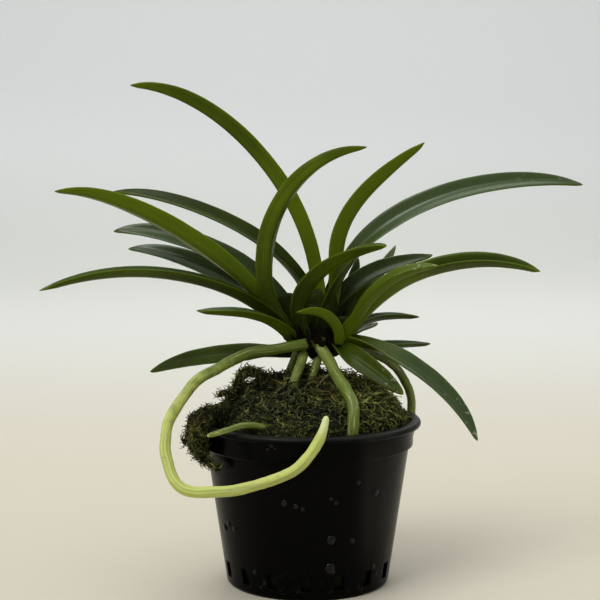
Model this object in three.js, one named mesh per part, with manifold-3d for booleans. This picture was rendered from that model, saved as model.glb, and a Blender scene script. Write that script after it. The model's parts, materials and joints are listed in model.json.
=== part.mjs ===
// Potted wind orchid: a clump of strap-leaved growths standing on its own roots
// over a ball of moss in a small nursery pot.
// Millimetres, +Z up, the origin under the middle of the pot, the front of the pot at -Y.

import * as THREE from 'three';
import { mergeVertices } from 'three/addons/utils/BufferGeometryUtils.js';
import Module from 'manifold-3d';

const wasm = await Module();
wasm.setup();

// Clearance kept between two pieces that touch, and the finest detail that a cut may leave.
const GAP = 0.3;
const FINEST_DETAIL = 0.05;

// Pot: sizes over the lip, the collar, the tapering wall and the foot.
const POT_HEIGHT = 58;
const LIP_RADIUS = 40;
const LIP_DEPTH = 2.4;
const COLLAR_RADIUS = 37.2;
const COLLAR_HEIGHT = 9.5;
const BODY_TOP_RADIUS = 35.8;
const FOOT_RADIUS = 28.6;
const POT_WALL = 1.1;
const FOOT_RING = 2.6;
const BASE_DISC_RADIUS = 8;
const BASE_RECESS = 1;
const FLOOR_TOP = 2.4;
const POT_SIDES = 40;

// Drain slots round the foot of the wall.
const SLOT_COUNT = 16;
const SLOT_WIDTH = 3.5;
const SLOT_LOW = 3.4;
const SLOT_HIGH = 8.8;
const SLOT_START = -91.4;

// Leaf blade: thickness at the keel and at the margin, and how tightly its root is folded.
const KEEL_THICKNESS = 1.5;
const MARGIN_THICKNESS = 0.75;
const KEEL_SWELL = 1.15;
const ROOT_FOLD = 56;
const ROOT_WIDTH_SHARE = 1.05;
const TIP_HALF_WIDTH = 0.4;
const TIP_TAPER = 0.75;
const LEAF_STEPS = 11;

// Shares of a leaf's length at which its fold has opened, its roll begins and its roll is full,
// and how much closer together its sections stand towards the tip.
const FOLD_OPEN = 0.4;
const TURN_FROM = 0.02;
const TURN_FULL = 0.45;
const TIPWARD_STEPS = 1.2;

// Roots: sides of the section and the length of one step along the root.
const ROOT_SIDES = 8;
const ROOT_STEP = 5;
const ROOT_END_FROM = 0.95;
const ROOT_END_NARROWING = 0.45;

// Moss: the mound's height, where its apex stands, how far it spreads, its edge at the rim,
// how rough it is, how much lower it lies at the left and in the recess at the right.
const MOUND_HEIGHT = 72;
const MOUND_APEX_X = 2;
const MOUND_SPREAD = 38;
const MOUND_EDGE = 1.2;
const MOUND_FULLNESS = 0.9;
const MOUND_ROUGHNESS = 1.1;
const LEFT_DIP = 2.5;
const RIGHT_RECESS = 3.5;
const MOSS_SIDES = 36;
const MOSS_RADII = [34.5, 31, 27, 22.5, 18, 13.5, 9, 4.5];

// Wisps of moss: sides of the section and the length of one step.
const WISP_SIDES = 6;
const WISP_STEP = 3;

// Loose sprigs: how many, how far out, how thick, how deep they are sunk, their length and lean.
const SPRIG_COUNT = 64;
const SPRIG_SEED = 7;
const SPRIG_REACH = 36;
const SPRIG_RADIUS = 0.9;
const SPRIG_SINK = 1.4;
const SPRIG_LENGTH = 3;
const SPRIG_EXTRA_LENGTH = 3.5;
const SPRIG_LEAN = 0.5;
const SPRIG_EXTRA_LEAN = 0.6;

const POT_BLACK = { color: 0x0b0c0d, roughness: 0.22, metalness: 0 };
const MOSS_GREEN = { color: 0x2c3a12, roughness: 0.95, metalness: 0 };
const STEM_GREEN = { color: 0x3c4f16, roughness: 0.5, metalness: 0 };
const SHEATH_BROWN = { color: 0x241a14, roughness: 0.85, metalness: 0 };
const LEAF_GREEN = { color: 0x3f5f14, roughness: 0.34, metalness: 0 };
const LEAF_DARK = { color: 0x2c4520, roughness: 0.32, metalness: 0 };
const ROOT_GREEN = { color: 0x8d9c4e, roughness: 0.55, metalness: 0 };
const ROOT_BROWN = { color: 0x6b6134, roughness: 0.65, metalness: 0 };

// Leaves, from the front of the plant to its back: a leaf behind gives way to one in front.
// The mid line of each is one cubic curve through root and tip, drawn by rise and reach.
// width is the leaf laid flat, fold the lift of each half from flat in degrees,
// turn the roll that brings the upper face to the front, blunt how late the tip narrows.
const LEAVES = [
  { name: 'leaf_right_8', root: [10.5, -5, 85], rise: [12, -8, 92], reach: [5, -12, 100], tip: [-4, -16, 97],
    width: 6.5, fold: 50, turn: -20, blunt: 4, look: LEAF_GREEN },
  { name: 'leaf_mid_5', root: [0, -3, 87], rise: [-12, -14, 114], reach: [25, -26, 122], tip: [25, -38, 121],
    width: 11, fold: 50, turn: 15, blunt: 3, look: LEAF_DARK },
  { name: 'leaf_left_6', root: [-5, -3, 87], rise: [-26, -8, 111], reach: [-10, -14, 151],
    tip: [20, -16, 153], width: 9.5, fold: 44, turn: -38, blunt: 5, look: LEAF_GREEN },
  { name: 'leaf_left_3', root: [-5, -1, 86], rise: [-13, -5, 105], reach: [-59, -10, 141],
    tip: [-86, -14, 138], width: 10, fold: 34, turn: -50, blunt: 5, look: LEAF_GREEN },
  { name: 'leaf_left_2', root: [-4, -2, 85], rise: [-18, -8, 110], reach: [-62, -16, 118],
    tip: [-90, -24, 105], width: 9, fold: 45, turn: 8, blunt: 5, look: LEAF_GREEN },
  { name: 'leaf_left_1', root: [-4, -3, 85], rise: [-13, -10, 98], reach: [-23, -20, 98], tip: [-37, -30, 99],
    width: 8, fold: 40, turn: 10, blunt: 4, look: LEAF_DARK },
  { name: 'leaf_right_3', root: [11, -1, 86], rise: [22, -6, 88], reach: [50, -14, 75], tip: [58, -18, 53],
    width: 8.5, fold: 34, turn: 40, blunt: 5, look: LEAF_GREEN },
  { name: 'leaf_right_7', root: [10, -2, 84], rise: [8, -10, 87], reach: [28, -18, 74], tip: [32, -24, 70],
    width: 8, fold: 22, turn: 60, blunt: 4, look: LEAF_GREEN },
  { name: 'leaf_right_2', root: [10.4, -1.6, 83], rise: [17, -5.4, 97], reach: [24, -11, 112], tip: [44, -16, 113],
    width: 9.5, fold: 48, turn: 26, blunt: 5, look: LEAF_GREEN },
  { name: 'leaf_mid_1', root: [4, 2, 87], rise: [11, 4, 131], reach: [-32, 8, 177], tip: [-63, 12, 175],
    width: 10.5, fold: 44, turn: -36, blunt: 7, look: LEAF_GREEN },
  { name: 'leaf_mid_3', root: [5, 3, 87], rise: [16, 6, 116], reach: [-3, 10, 124], tip: [42, 16, 155],
    width: 11.5, fold: 44, turn: -38, blunt: 5, look: LEAF_GREEN },
  { name: 'leaf_mid_4', root: [4, 1, 88], rise: [11, 3, 138], reach: [72, 2, 146], tip: [96, 0, 140],
    width: 9.5, fold: 30, turn: 55, blunt: 6, look: LEAF_DARK },
  { name: 'leaf_right_1', root: [10, 1, 83], rise: [26, -2, 114], reach: [60, -10, 119], tip: [79, -16, 111],
    width: 11.5, fold: 58, turn: 30, blunt: 6, look: LEAF_GREEN },
  { name: 'leaf_left_5', root: [-3, 3, 88], rise: [-6, 6, 108], reach: [-48, 11, 128], tip: [-70, 16, 123],
    width: 8.5, fold: 26, turn: 60, blunt: 6, look: LEAF_DARK },
  { name: 'leaf_left_4', root: [-5, 2, 86], rise: [-7, 9, 98], reach: [-45, 18, 119], tip: [-66, 26, 116],
    width: 8.5, fold: 26, turn: 55, blunt: 5, look: LEAF_DARK },
  { name: 'leaf_mid_2', root: [3, 3, 87], rise: [7, 8, 120], reach: [-53, 14, 140], tip: [-71, 20, 137],
    width: 8.5, fold: 36, turn: 34, blunt: 6, look: LEAF_DARK },
  { name: 'leaf_left_7', root: [-1, 6, 82], rise: [-10, 10, 78], reach: [-35, 16, 82], tip: [-58, 22, 71],
    width: 8.5, fold: 26, turn: 55, blunt: 5, look: LEAF_DARK },
  { name: 'leaf_mid_6', root: [5, 4, 87], rise: [13, 8, 109], reach: [27, 16, 111], tip: [46, 24, 114],
    width: 8, fold: 32, turn: 45, blunt: 5, look: LEAF_DARK },
  { name: 'leaf_right_4', root: [11, 4, 85], rise: [16, 9, 91], reach: [25, 14, 95], tip: [41, 20, 91.5],
    width: 7, fold: 36, turn: 5, blunt: 4, look: LEAF_DARK },
  { name: 'leaf_right_5', root: [11, 6, 84], rise: [18, 12, 89], reach: [21, 18, 88], tip: [26, 24, 89],
    width: 6, fold: 34, turn: 15, blunt: 3, look: LEAF_DARK },
  { name: 'leaf_right_6', root: [10, 3, 82], rise: [18, 6, 83], reach: [32, 12, 83], tip: [45, 18, 82],
    width: 7, fold: 34, turn: 12, blunt: 4, look: LEAF_DARK },
  { name: 'leaf_back_2', root: [11, 6, 89], rise: [14, 11, 98], reach: [17, 15, 107], tip: [18.5, 20, 113.5],
    width: 7, fold: 36, turn: 30, blunt: 3, look: LEAF_DARK },
  { name: 'leaf_back_1', root: [11, 6, 87], rise: [18, 10, 98], reach: [27, 22, 108], tip: [33, 34, 117],
    width: 7, fold: 34, turn: 20, blunt: 3, look: LEAF_GREEN },
];

// Roots, as hand-placed points on their middle line, with their radius at the start and the tip.
const ROOTS = [
  { name: 'root_long', radius: [1.9, 1.8], look: ROOT_GREEN, path: [
    [1.5, -5, 85], [-4.5, -8, 84.5], [-12.5, -11, 83.5], [-19, -14, 83], [-25, -17, 81], [-31, -20, 78],
    [-37, -23, 75], [-41, -26, 70.5], [-44.5, -29, 65.5], [-46.5, -32, 61.5], [-47, -35, 57],
    [-47, -37, 53.5], [-46, -39, 50], [-44.5, -41, 46], [-42, -43, 43], [-38.5, -44, 41.5],
    [-31.5, -45, 41.5], [-24, -45, 42], [-16, -45, 44], [-10, -45, 46], [-4, -45, 49],
    [-0.5, -45, 52.5], [2.5, -44, 56.5], [4.5, -43, 60.5], [6, -42, 66]] },
  { name: 'root_front', radius: [2.1, 2.0], look: ROOT_GREEN, path: [
    [4, -4, 84], [7, -9, 80], [10, -16, 75], [13, -23, 71], [15, -29, 67], [15, -32, 63],
    [14.5, -32.5, 55]] },
  { name: 'root_short_1', radius: [1.7, 1.7], look: ROOT_GREEN, path: [
    [-1, -3, 82], [-3, -10, 77], [-5, -14, 72], [-6, -16, 65]] },
  { name: 'root_short_2', radius: [1.5, 1.4], look: ROOT_GREEN, path: [
    [4, -2, 80], [2, -7, 75], [1, -9, 70], [1, -10, 64]] },
  { name: 'root_short_3', radius: [1.7, 1.6], look: ROOT_BROWN, path: [
    [-3, 2, 82], [-5, 3, 77], [-7, 3, 71], [-8, 3, 64]] },
  { name: 'root_back', radius: [1.7, 1.5], look: ROOT_BROWN, path: [
    [10.5, 2, 83], [15, 6, 82], [23.5, 13, 79], [31, 17, 74.5], [36, 19, 67.5], [38, 19.5, 62],
    [38.2, 19.5, 57], [38, 19, 47]] },
  { name: 'root_tip', radius: [1.3, 0.85], look: ROOT_GREEN, path: [
    [-8, -27, 56.5], [-12, -29.5, 59], [-16, -31, 60.4], [-19.5, -31.8, 61], [-23, -32.5, 60.7],
    [-27, -32.3, 59.4], [-30.5, -30, 57.9], [-33.8, -28, 56.6]] },
];

// Dry remains of old leaf sheaths, fused in one piece at the front of the middle growth.
const OLD_SHEATHS = [
  { root: [3, -2, 80], rise: [3, -5, 84], reach: [2, -7, 88], tip: [1, -7, 93],
    width: 8, fold: 26, turn: 0, blunt: 3 },
  { root: [7, -2, 80], rise: [8, -5, 84], reach: [8, -7, 87], tip: [6.5, -8, 91],
    width: 7, fold: 26, turn: 0, blunt: 3 },
  { root: [-1, -2, 81], rise: [-2, -5, 85], reach: [-4, -7, 89], tip: [-4, -8, 94],
    width: 7, fold: 26, turn: 0, blunt: 3 },
];
const SHEATH_STEPS = 4;

// The three growths of the clump: foot, top, half width and half depth at each,
// and the sections along a growth: its place from foot to top and its share of that width.
const GROWTHS = [
  { foot: [-1, 0, 82], top: [-9, 0, 101], wide: [3.4, 6.2], deep: [2.8, 1.8] },
  { foot: [3, 1, 80], top: [6, 1, 103], wide: [4, 6], deep: [3.2, 2] },
  { foot: [8, 0, 81], top: [14, 0, 93], wide: [3.4, 4.4], deep: [2.8, 1.8] },
];
const GROWTH_SIDES = 12;
const GROWTH_PLACES = [-0.06, 0, 0.3, 0.65, 0.9, 1, 1.04];
const GROWTH_SHARES = [0.5, 0.8, 1, 1, 0.8, 0.5, 0.2];

// Wisps of moss: the clump that hangs over the rim, its nub and the small loop on top.
const WISPS = [
  { radius: [3, 2.7, 2.1, 2, 1.9], path: [
    [-31, -6, 60], [-36, -7, 60.4], [-39.5, -8, 57.6], [-39.8, -9, 53], [-38.6, -10, 48]] },
  { radius: [3.2, 3, 2.8, 2.7, 2], path: [
    [-28, -15, 60.6], [-33, -17.5, 60.8], [-36.4, -19.5, 57.6], [-36.8, -20, 52], [-35.6, -19.5, 47.5]] },
  { radius: [2.4, 2.6, 1.6], path: [[-38.2, -14.5, 57], [-38, -14.5, 51], [-36.8, -14.5, 46]] },
  { radius: [1.4, 1.2, 1, 0.8], path: [
    [-37, -17, 50], [-36.2, -19, 48], [-33.2, -21.8, 46], [-29.6, -24.2, 44.2]] },
  { radius: [1.4, 1.1, 0.9], path: [[-39.6, -9, 52], [-42, -8, 51.4], [-43.8, -8, 50.4]] },
  { radius: [1.9, 1.7, 1.5, 1.5, 1.7, 2], path: [
    [-26, -6, 64], [-24.6, -6, 70], [-22.8, -6, 74], [-19.5, -6, 75.2], [-16.3, -6, 73.6],
    [-13, -6, 68]] },
  { radius: [1.4, 1.1, 1.1], path: [[-26, -7, 65], [-28.8, -7, 67.8], [-31.3, -7, 66.8]] },
];

function seededRandom(seed) {
  let state = seed;
  return () => {
    state = (state * 1664525 + 1013904223) % 4294967296;
    return state / 4294967296;
  };
}

function smooth(low, high, value) {
  return THREE.MathUtils.smoothstep(value, low, high);
}

// A closed solid through rings of equally many points, an even number.
// Point i of a ring lies opposite its point n - 1 - i, so each end is closed by a strip.
function loftGeometry(rings) {
  const count = rings[0].length;
  const positions = rings.flat().flatMap((point) => [point.x, point.y, point.z]);
  const triangles = [];
  for (let r = 0; r < rings.length - 1; r += 1) {
    for (let i = 0; i < count; i += 1) {
      const a = r * count + i;
      const b = r * count + (i + 1) % count;
      triangles.push(a, b, b + count, a, b + count, a + count);
    }
  }
  const last = (rings.length - 1) * count;
  for (let i = 0; i < count / 2 - 1; i += 1) {
    const j = count - 1 - i;
    triangles.push(i, j, j - 1, i, j - 1, i + 1);
    triangles.push(last + i, last + i + 1, last + j - 1, last + i, last + j - 1, last + j);
  }
  const geometry = new THREE.BufferGeometry();
  geometry.setAttribute('position', new THREE.Float32BufferAttribute(positions, 3));
  geometry.setIndex(triangles);
  return geometry;
}

function solidOf(geometry) {
  const bare = geometry.clone();
  bare.deleteAttribute('normal');
  bare.deleteAttribute('uv');
  const merged = mergeVertices(bare, 1e-4);
  return new wasm.Manifold(new wasm.Mesh({
    numProp: 3,
    vertProperties: new Float32Array(merged.attributes.position.array),
    triVerts: new Uint32Array(merged.index.array),
  }));
}

function geometryOf(solid) {
  const mesh = solid.getMesh();
  const geometry = new THREE.BufferGeometry();
  geometry.setAttribute('position', new THREE.BufferAttribute(new Float32Array(mesh.vertProperties), 3));
  geometry.setIndex(new THREE.BufferAttribute(new Uint32Array(mesh.triVerts), 1));
  geometry.computeVertexNormals();
  return geometry;
}

// The largest body of a solid: a cut can leave loose scraps, which are dropped.
function largestBody(solid) {
  const bodies = solid.decompose();
  return bodies.reduce((best, body) => (body.volume() > best.volume() ? body : best));
}

// Pot

function potWallRadius(height) {
  const share = height / (POT_HEIGHT - COLLAR_HEIGHT);
  return THREE.MathUtils.lerp(FOOT_RADIUS, BODY_TOP_RADIUS, Math.min(share, 1));
}

// Half section of the pot as x = radius and y = height, from the axis under the floor,
// up the outside, over the lip and down the inside. swell grows it on every side.
function potProfile(swell) {
  const stepHeight = POT_HEIGHT - COLLAR_HEIGHT;
  const lipLow = POT_HEIGHT - LIP_DEPTH;
  const inner = POT_WALL + swell;
  const outside = [
    [0, -swell],
    [BASE_DISC_RADIUS, -swell],
    [BASE_DISC_RADIUS + 1, BASE_RECESS - swell],
    [FOOT_RADIUS - FOOT_RING - 1, BASE_RECESS - swell],
    [FOOT_RADIUS - FOOT_RING, -swell],
    [FOOT_RADIUS - 0.5 + swell, -swell],
    [potWallRadius(0.8) + swell, 0.8],
    [BODY_TOP_RADIUS + swell, stepHeight],
    [COLLAR_RADIUS + swell, stepHeight + 0.5],
    [COLLAR_RADIUS + 0.2 + swell, lipLow + 0.5 - swell],
    [LIP_RADIUS - 0.8, lipLow - swell],
    [LIP_RADIUS - 0.1 + swell, lipLow + 0.5],
    [LIP_RADIUS + swell, POT_HEIGHT - 1.1],
    [LIP_RADIUS - 0.4 + swell, POT_HEIGHT - 0.3 + swell],
    [LIP_RADIUS - 1.2, POT_HEIGHT + swell],
  ];
  const inside = [
    [COLLAR_RADIUS - 0.4, POT_HEIGHT + swell],
    [COLLAR_RADIUS + 0.2 - inner, POT_HEIGHT - 0.9],
    [COLLAR_RADIUS - inner, stepHeight + 1],
    [BODY_TOP_RADIUS - inner, stepHeight - 0.6],
    [potWallRadius(FLOOR_TOP) - inner, FLOOR_TOP + swell],
    [0, FLOOR_TOP + swell],
  ];
  return [...outside, ...inside].map(([x, y]) => new THREE.Vector2(x, y));
}

function potShell(swell) {
  const lathe = new THREE.LatheGeometry(potProfile(swell), POT_SIDES);
  lathe.rotateX(Math.PI / 2);
  return solidOf(lathe);
}

function drainSlots(swell) {
  const height = SLOT_HIGH - SLOT_LOW;
  const radius = potWallRadius((SLOT_LOW + SLOT_HIGH) / 2) - POT_WALL / 2;
  const slots = [];
  for (let i = 0; i < SLOT_COUNT; i += 1) {
    const box = new THREE.BoxGeometry(4, SLOT_WIDTH - swell, height - swell);
    box.translate(radius, 0, (SLOT_LOW + SLOT_HIGH) / 2);
    box.rotateZ(THREE.MathUtils.degToRad(SLOT_START + (360 / SLOT_COUNT) * i));
    slots.push(solidOf(box));
  }
  return wasm.Manifold.union(slots);
}

// Leaves

// Five points under the blade from margin to margin, then five back over its upper face,
// in the leaf's own cross plane: x across, y towards the upper face, the keel half a blade's
// height under the mid line.
function leafSection(halfWidth, foldDegrees, swell) {
  const fold = THREE.MathUtils.degToRad(foldDegrees);
  const keelDrop = (halfWidth * Math.sin(fold)) / 2;
  const shares = [-1, -0.5, 0, 0.5, 1];
  const point = (share, face) => {
    const side = Math.sign(share);
    const reach = Math.abs(share) * (halfWidth + swell);
    const half = THREE.MathUtils.lerp(KEEL_THICKNESS, MARGIN_THICKNESS, Math.abs(share)) / 2 + swell;
    if (side === 0) {
      return [0, face * half * KEEL_SWELL - keelDrop];
    }
    const x = side * (reach * Math.cos(fold) - face * half * Math.sin(fold));
    return [x, reach * Math.sin(fold) + face * half * Math.cos(fold) - keelDrop];
  };
  const under = shares.map((share) => point(share, -1));
  const over = shares.map((share) => point(share, 1)).reverse();
  return [...under, ...over];
}

function leafHalfWidth(leaf, t) {
  const rootward = THREE.MathUtils.lerp(ROOT_WIDTH_SHARE, 1, smooth(0, 0.25, t));
  const tipward = (1 - t ** leaf.blunt) ** TIP_TAPER;
  return Math.max((leaf.width / 2) * rootward * tipward, TIP_HALF_WIDTH);
}

function leafSolid(leaf, swell, steps = LEAF_STEPS) {
  const corners = [leaf.root, leaf.rise, leaf.reach, leaf.tip];
  const [root, rise, reach, tip] = corners.map((corner) => new THREE.Vector3(...corner));
  const midLine = new THREE.CubicBezierCurve3(root, rise, reach, tip);
  const heading = new THREE.Vector3(tip.x - root.x, tip.y - root.y, 0).normalize();
  const level = new THREE.Vector3(-heading.y, heading.x, 0);
  const facing = Math.sign(heading.x);
  const rings = [];
  for (let i = 0; i <= steps; i += 1) {
    const t = 1 - (1 - i / steps) ** TIPWARD_STEPS;
    const along = midLine.getTangentAt(t);
    const across = level.clone().addScaledVector(along, -level.dot(along)).normalize();
    const turn = THREE.MathUtils.degToRad(leaf.turn * facing * smooth(TURN_FROM, TURN_FULL, t));
    across.applyAxisAngle(along, turn);
    const up = along.clone().cross(across);
    const fold = THREE.MathUtils.lerp(ROOT_FOLD, leaf.fold, smooth(0, FOLD_OPEN, t));
    const centre = midLine.getPointAt(t);
    if (i === 0) {
      centre.addScaledVector(along, -swell);
    }
    if (i === steps) {
      centre.addScaledVector(along, swell);
    }
    const section = leafSection(leafHalfWidth(leaf, t), fold, swell);
    rings.push(section.map(([x, y]) => centre.clone().addScaledVector(across, x).addScaledVector(up, y)));
  }
  return solidOf(loftGeometry(rings));
}

// Roots and wisps of moss: round tubes with a radius that changes along the way.

function tubeSolid(points, radiusAt, sides, step) {
  const path = new THREE.CatmullRomCurve3(points, false, 'centripetal');
  const steps = Math.max(4, Math.round(path.getLength() / step));
  const frames = path.computeFrenetFrames(steps, false);
  const rings = [];
  for (let i = 0; i <= steps; i += 1) {
    const t = i / steps;
    const centre = path.getPointAt(t);
    const radius = radiusAt(t);
    const ring = [];
    for (let k = 0; k < sides; k += 1) {
      const angle = (2 * Math.PI * (k + 0.5)) / sides;
      ring.push(centre.clone()
        .addScaledVector(frames.normals[i], radius * Math.cos(angle))
        .addScaledVector(frames.binormals[i], radius * Math.sin(angle)));
    }
    rings.push(ring);
  }
  return solidOf(loftGeometry(rings));
}

function rootSolid(root, swell) {
  const points = root.path.map((p) => new THREE.Vector3(...p));
  const [first, last] = root.radius;
  const radiusAt = (t) => {
    const narrowing = 1 - ROOT_END_NARROWING * smooth(ROOT_END_FROM, 1, t);
    return THREE.MathUtils.lerp(first, last, t) * narrowing + swell;
  };
  return tubeSolid(points, radiusAt, ROOT_SIDES, ROOT_STEP);
}

function wispSolid(wisp) {
  const points = wisp.path.map((p) => new THREE.Vector3(...p));
  const radiusAt = (t) => {
    const place = t * (wisp.radius.length - 1);
    const low = Math.min(Math.floor(place), wisp.radius.length - 2);
    return THREE.MathUtils.lerp(wisp.radius[low], wisp.radius[low + 1], place - low);
  };
  return tubeSolid(points, radiusAt, WISP_SIDES, WISP_STEP);
}

// Stems: one body of three short flattened growths.

function growthSolid(growth, swell) {
  const foot = new THREE.Vector3(...growth.foot);
  const top = new THREE.Vector3(...growth.top);
  const along = top.clone().sub(foot).normalize();
  const deep = new THREE.Vector3(0, 1, 0);
  const wide = deep.clone().cross(along).normalize();
  const rings = GROWTH_PLACES.map((place, s) => {
    const t = THREE.MathUtils.clamp(place, 0, 1);
    const centre = foot.clone().addScaledVector(along, place * foot.distanceTo(top));
    const share = GROWTH_SHARES[s];
    const halfWide = THREE.MathUtils.lerp(growth.wide[0], growth.wide[1], t) * share + swell;
    const halfDeep = THREE.MathUtils.lerp(growth.deep[0], growth.deep[1], t) * share + swell;
    const ring = [];
    for (let k = 0; k < GROWTH_SIDES; k += 1) {
      const angle = (2 * Math.PI * (k + 0.5)) / GROWTH_SIDES;
      ring.push(centre.clone()
        .addScaledVector(wide, halfWide * Math.cos(angle))
        .addScaledVector(deep, halfDeep * Math.sin(angle)));
    }
    return ring;
  });
  return solidOf(loftGeometry(rings));
}

function stemSolid(swell) {
  return wasm.Manifold.union(GROWTHS.map((growth) => growthSolid(growth, swell)));
}

// Moss

function mossRelief(angle, radius) {
  const waves = Math.sin(3 * angle + 0.7) * Math.cos(radius * 0.31)
    + 0.8 * Math.sin(7 * angle - radius * 0.23)
    + 0.6 * Math.cos(11 * angle + radius * 0.47 + 1.3);
  return MOUND_ROUGHNESS * waves;
}

function mossTop(angle, radius) {
  const rim = POT_HEIGHT + MOUND_EDGE;
  const across = radius * Math.cos(angle);
  const fromApex = Math.hypot(across - MOUND_APEX_X, radius * Math.sin(angle));
  const share = Math.min(fromApex / MOUND_SPREAD, 1);
  const dome = Math.cos((share * Math.PI) / 2) ** MOUND_FULLNESS;
  const leftDip = LEFT_DIP * smooth(20, 27, -across);
  const rightRecess = RIGHT_RECESS * smooth(29, 34, across);
  const relief = mossRelief(angle, radius) * (1 - 0.6 * smooth(30, 36, radius));
  return rim + (MOUND_HEIGHT - rim) * dome - leftDip - rightRecess + relief;
}

// The moss in the pot: up the inside of the wall, then inwards over the mound.
function mossBody() {
  const clear = POT_WALL + GAP;
  const stepHeight = POT_HEIGHT - COLLAR_HEIGHT;
  const wallRings = [
    [potWallRadius(FLOOR_TOP) - clear - 0.4, FLOOR_TOP + GAP],
    [BODY_TOP_RADIUS - clear - 0.3, stepHeight - 1],
    [COLLAR_RADIUS - clear - 0.3, POT_HEIGHT - 0.5],
  ];
  const rings = [];
  const ringAt = (radiusOf, heightOf) => {
    const ring = [];
    for (let k = 0; k < MOSS_SIDES; k += 1) {
      const angle = (2 * Math.PI * (k + 0.5)) / MOSS_SIDES;
      const radius = radiusOf(angle);
      const height = heightOf(angle, radius);
      ring.push(new THREE.Vector3(radius * Math.cos(angle), radius * Math.sin(angle), height));
    }
    return ring;
  };
  wallRings.forEach(([radius, height]) => rings.push(ringAt(() => radius, () => height)));
  MOSS_RADII.forEach((radius) => {
    const waver = (angle) => radius + 0.5 * Math.sin(9 * angle + radius);
    rings.push(ringAt(waver, mossTop));
  });
  return solidOf(loftGeometry(rings));
}

// Loose pointed sprigs all over the mound, each sunk into it.
function sprigSolids() {
  const random = seededRandom(SPRIG_SEED);
  const sprigs = [];
  for (let i = 0; i < SPRIG_COUNT; i += 1) {
    const angle = random() * 2 * Math.PI;
    const radius = SPRIG_REACH * Math.sqrt(0.1 + 0.9 * random());
    const length = SPRIG_LENGTH + SPRIG_EXTRA_LENGTH * random();
    const lean = SPRIG_LEAN + SPRIG_EXTRA_LEAN * random();
    const cone = new THREE.ConeGeometry(SPRIG_RADIUS, length, 4, 1);
    cone.rotateX(Math.PI / 2);
    cone.translate(0, 0, length / 2 - SPRIG_SINK);
    cone.rotateY(lean);
    cone.rotateZ(angle + (random() - 0.5) * 2);
    cone.translate(radius * Math.cos(angle), radius * Math.sin(angle), mossTop(angle, radius));
    sprigs.push(solidOf(cone));
  }
  return sprigs;
}

// Build: each piece is cut clear of those already made, so that touching pieces keep the gap.

const group = new THREE.Group();
const made = [];

function addPiece(name, solid, swollen, look) {
  const cut = largestBody(made.reduce((rest, piece) => rest.subtract(piece.swollen), solid));
  const body = cut.simplify(FINEST_DETAIL);
  made.push({ name, swollen });
  const mesh = new THREE.Mesh(geometryOf(body), new THREE.MeshStandardMaterial(look));
  mesh.name = name;
  group.add(mesh);
}

const pot = potShell(0).subtract(drainSlots(0));
addPiece('pot', pot, potShell(GAP), POT_BLACK);
addPiece('stem_clump', stemSolid(0), stemSolid(GAP), STEM_GREEN);
ROOTS.forEach((root) => addPiece(root.name, rootSolid(root, 0), rootSolid(root, GAP), root.look));
const oldSheaths = (swell) => {
  const sheaths = OLD_SHEATHS.map((sheath) => leafSolid(sheath, swell, SHEATH_STEPS));
  return wasm.Manifold.union(sheaths);
};
addPiece('old_sheaths', oldSheaths(0), oldSheaths(GAP), SHEATH_BROWN);
LEAVES.forEach((leaf) => addPiece(leaf.name, leafSolid(leaf, 0), leafSolid(leaf, GAP), leaf.look));
const moss = wasm.Manifold.union([mossBody(), ...WISPS.map(wispSolid), ...sprigSolids()]);
addPiece('moss', moss, moss, MOSS_GREEN);

export default group;
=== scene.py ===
import json
import math
import random

import bmesh
import bpy
from bpy.props import FloatProperty, FloatVectorProperty, IntProperty, PointerProperty
from bpy.types import Operator, Panel, PropertyGroup
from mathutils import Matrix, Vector, noise


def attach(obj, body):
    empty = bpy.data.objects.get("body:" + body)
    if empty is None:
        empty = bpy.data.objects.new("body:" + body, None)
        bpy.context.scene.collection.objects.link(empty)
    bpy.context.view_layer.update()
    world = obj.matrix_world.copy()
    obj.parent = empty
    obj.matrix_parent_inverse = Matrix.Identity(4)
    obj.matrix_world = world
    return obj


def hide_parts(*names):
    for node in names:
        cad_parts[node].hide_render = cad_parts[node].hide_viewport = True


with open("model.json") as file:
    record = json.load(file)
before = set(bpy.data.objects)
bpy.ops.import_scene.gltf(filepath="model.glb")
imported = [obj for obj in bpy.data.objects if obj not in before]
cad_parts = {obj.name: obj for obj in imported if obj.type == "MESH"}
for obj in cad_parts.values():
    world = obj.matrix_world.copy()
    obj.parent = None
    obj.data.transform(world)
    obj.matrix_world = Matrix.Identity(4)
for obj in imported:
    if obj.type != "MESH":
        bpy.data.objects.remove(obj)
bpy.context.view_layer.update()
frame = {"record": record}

bl_info = {
    "name": "Potted wind orchid",
    "version": (1, 0, 0),
    "blender": (4, 5, 0),
    "location": "View3D > Sidebar > Orchid",
    "description": "Builds a small strap-leaved orchid on a ball of moss in a nursery pot",
    "category": "Add Mesh",
}

MM = 0.001
BODY = "root"

# Pot, in millimetres, as in the solid model.
POT_HEIGHT = 58.0
LIP_RADIUS = 40.0
LIP_DEPTH = 2.4
COLLAR_RADIUS = 37.2
COLLAR_HEIGHT = 9.5
BODY_TOP_RADIUS = 35.8
FOOT_RADIUS = 28.6
POT_WALL = 1.1
FOOT_RING = 2.6
BASE_DISC_RADIUS = 8.0
BASE_RECESS = 1.0
FLOOR_TOP = 2.4
SLOT_COUNT = 16
SLOT_WIDTH = 3.5
SLOT_LOW = 3.4
SLOT_HIGH = 8.8
SLOT_START = -91.4

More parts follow.
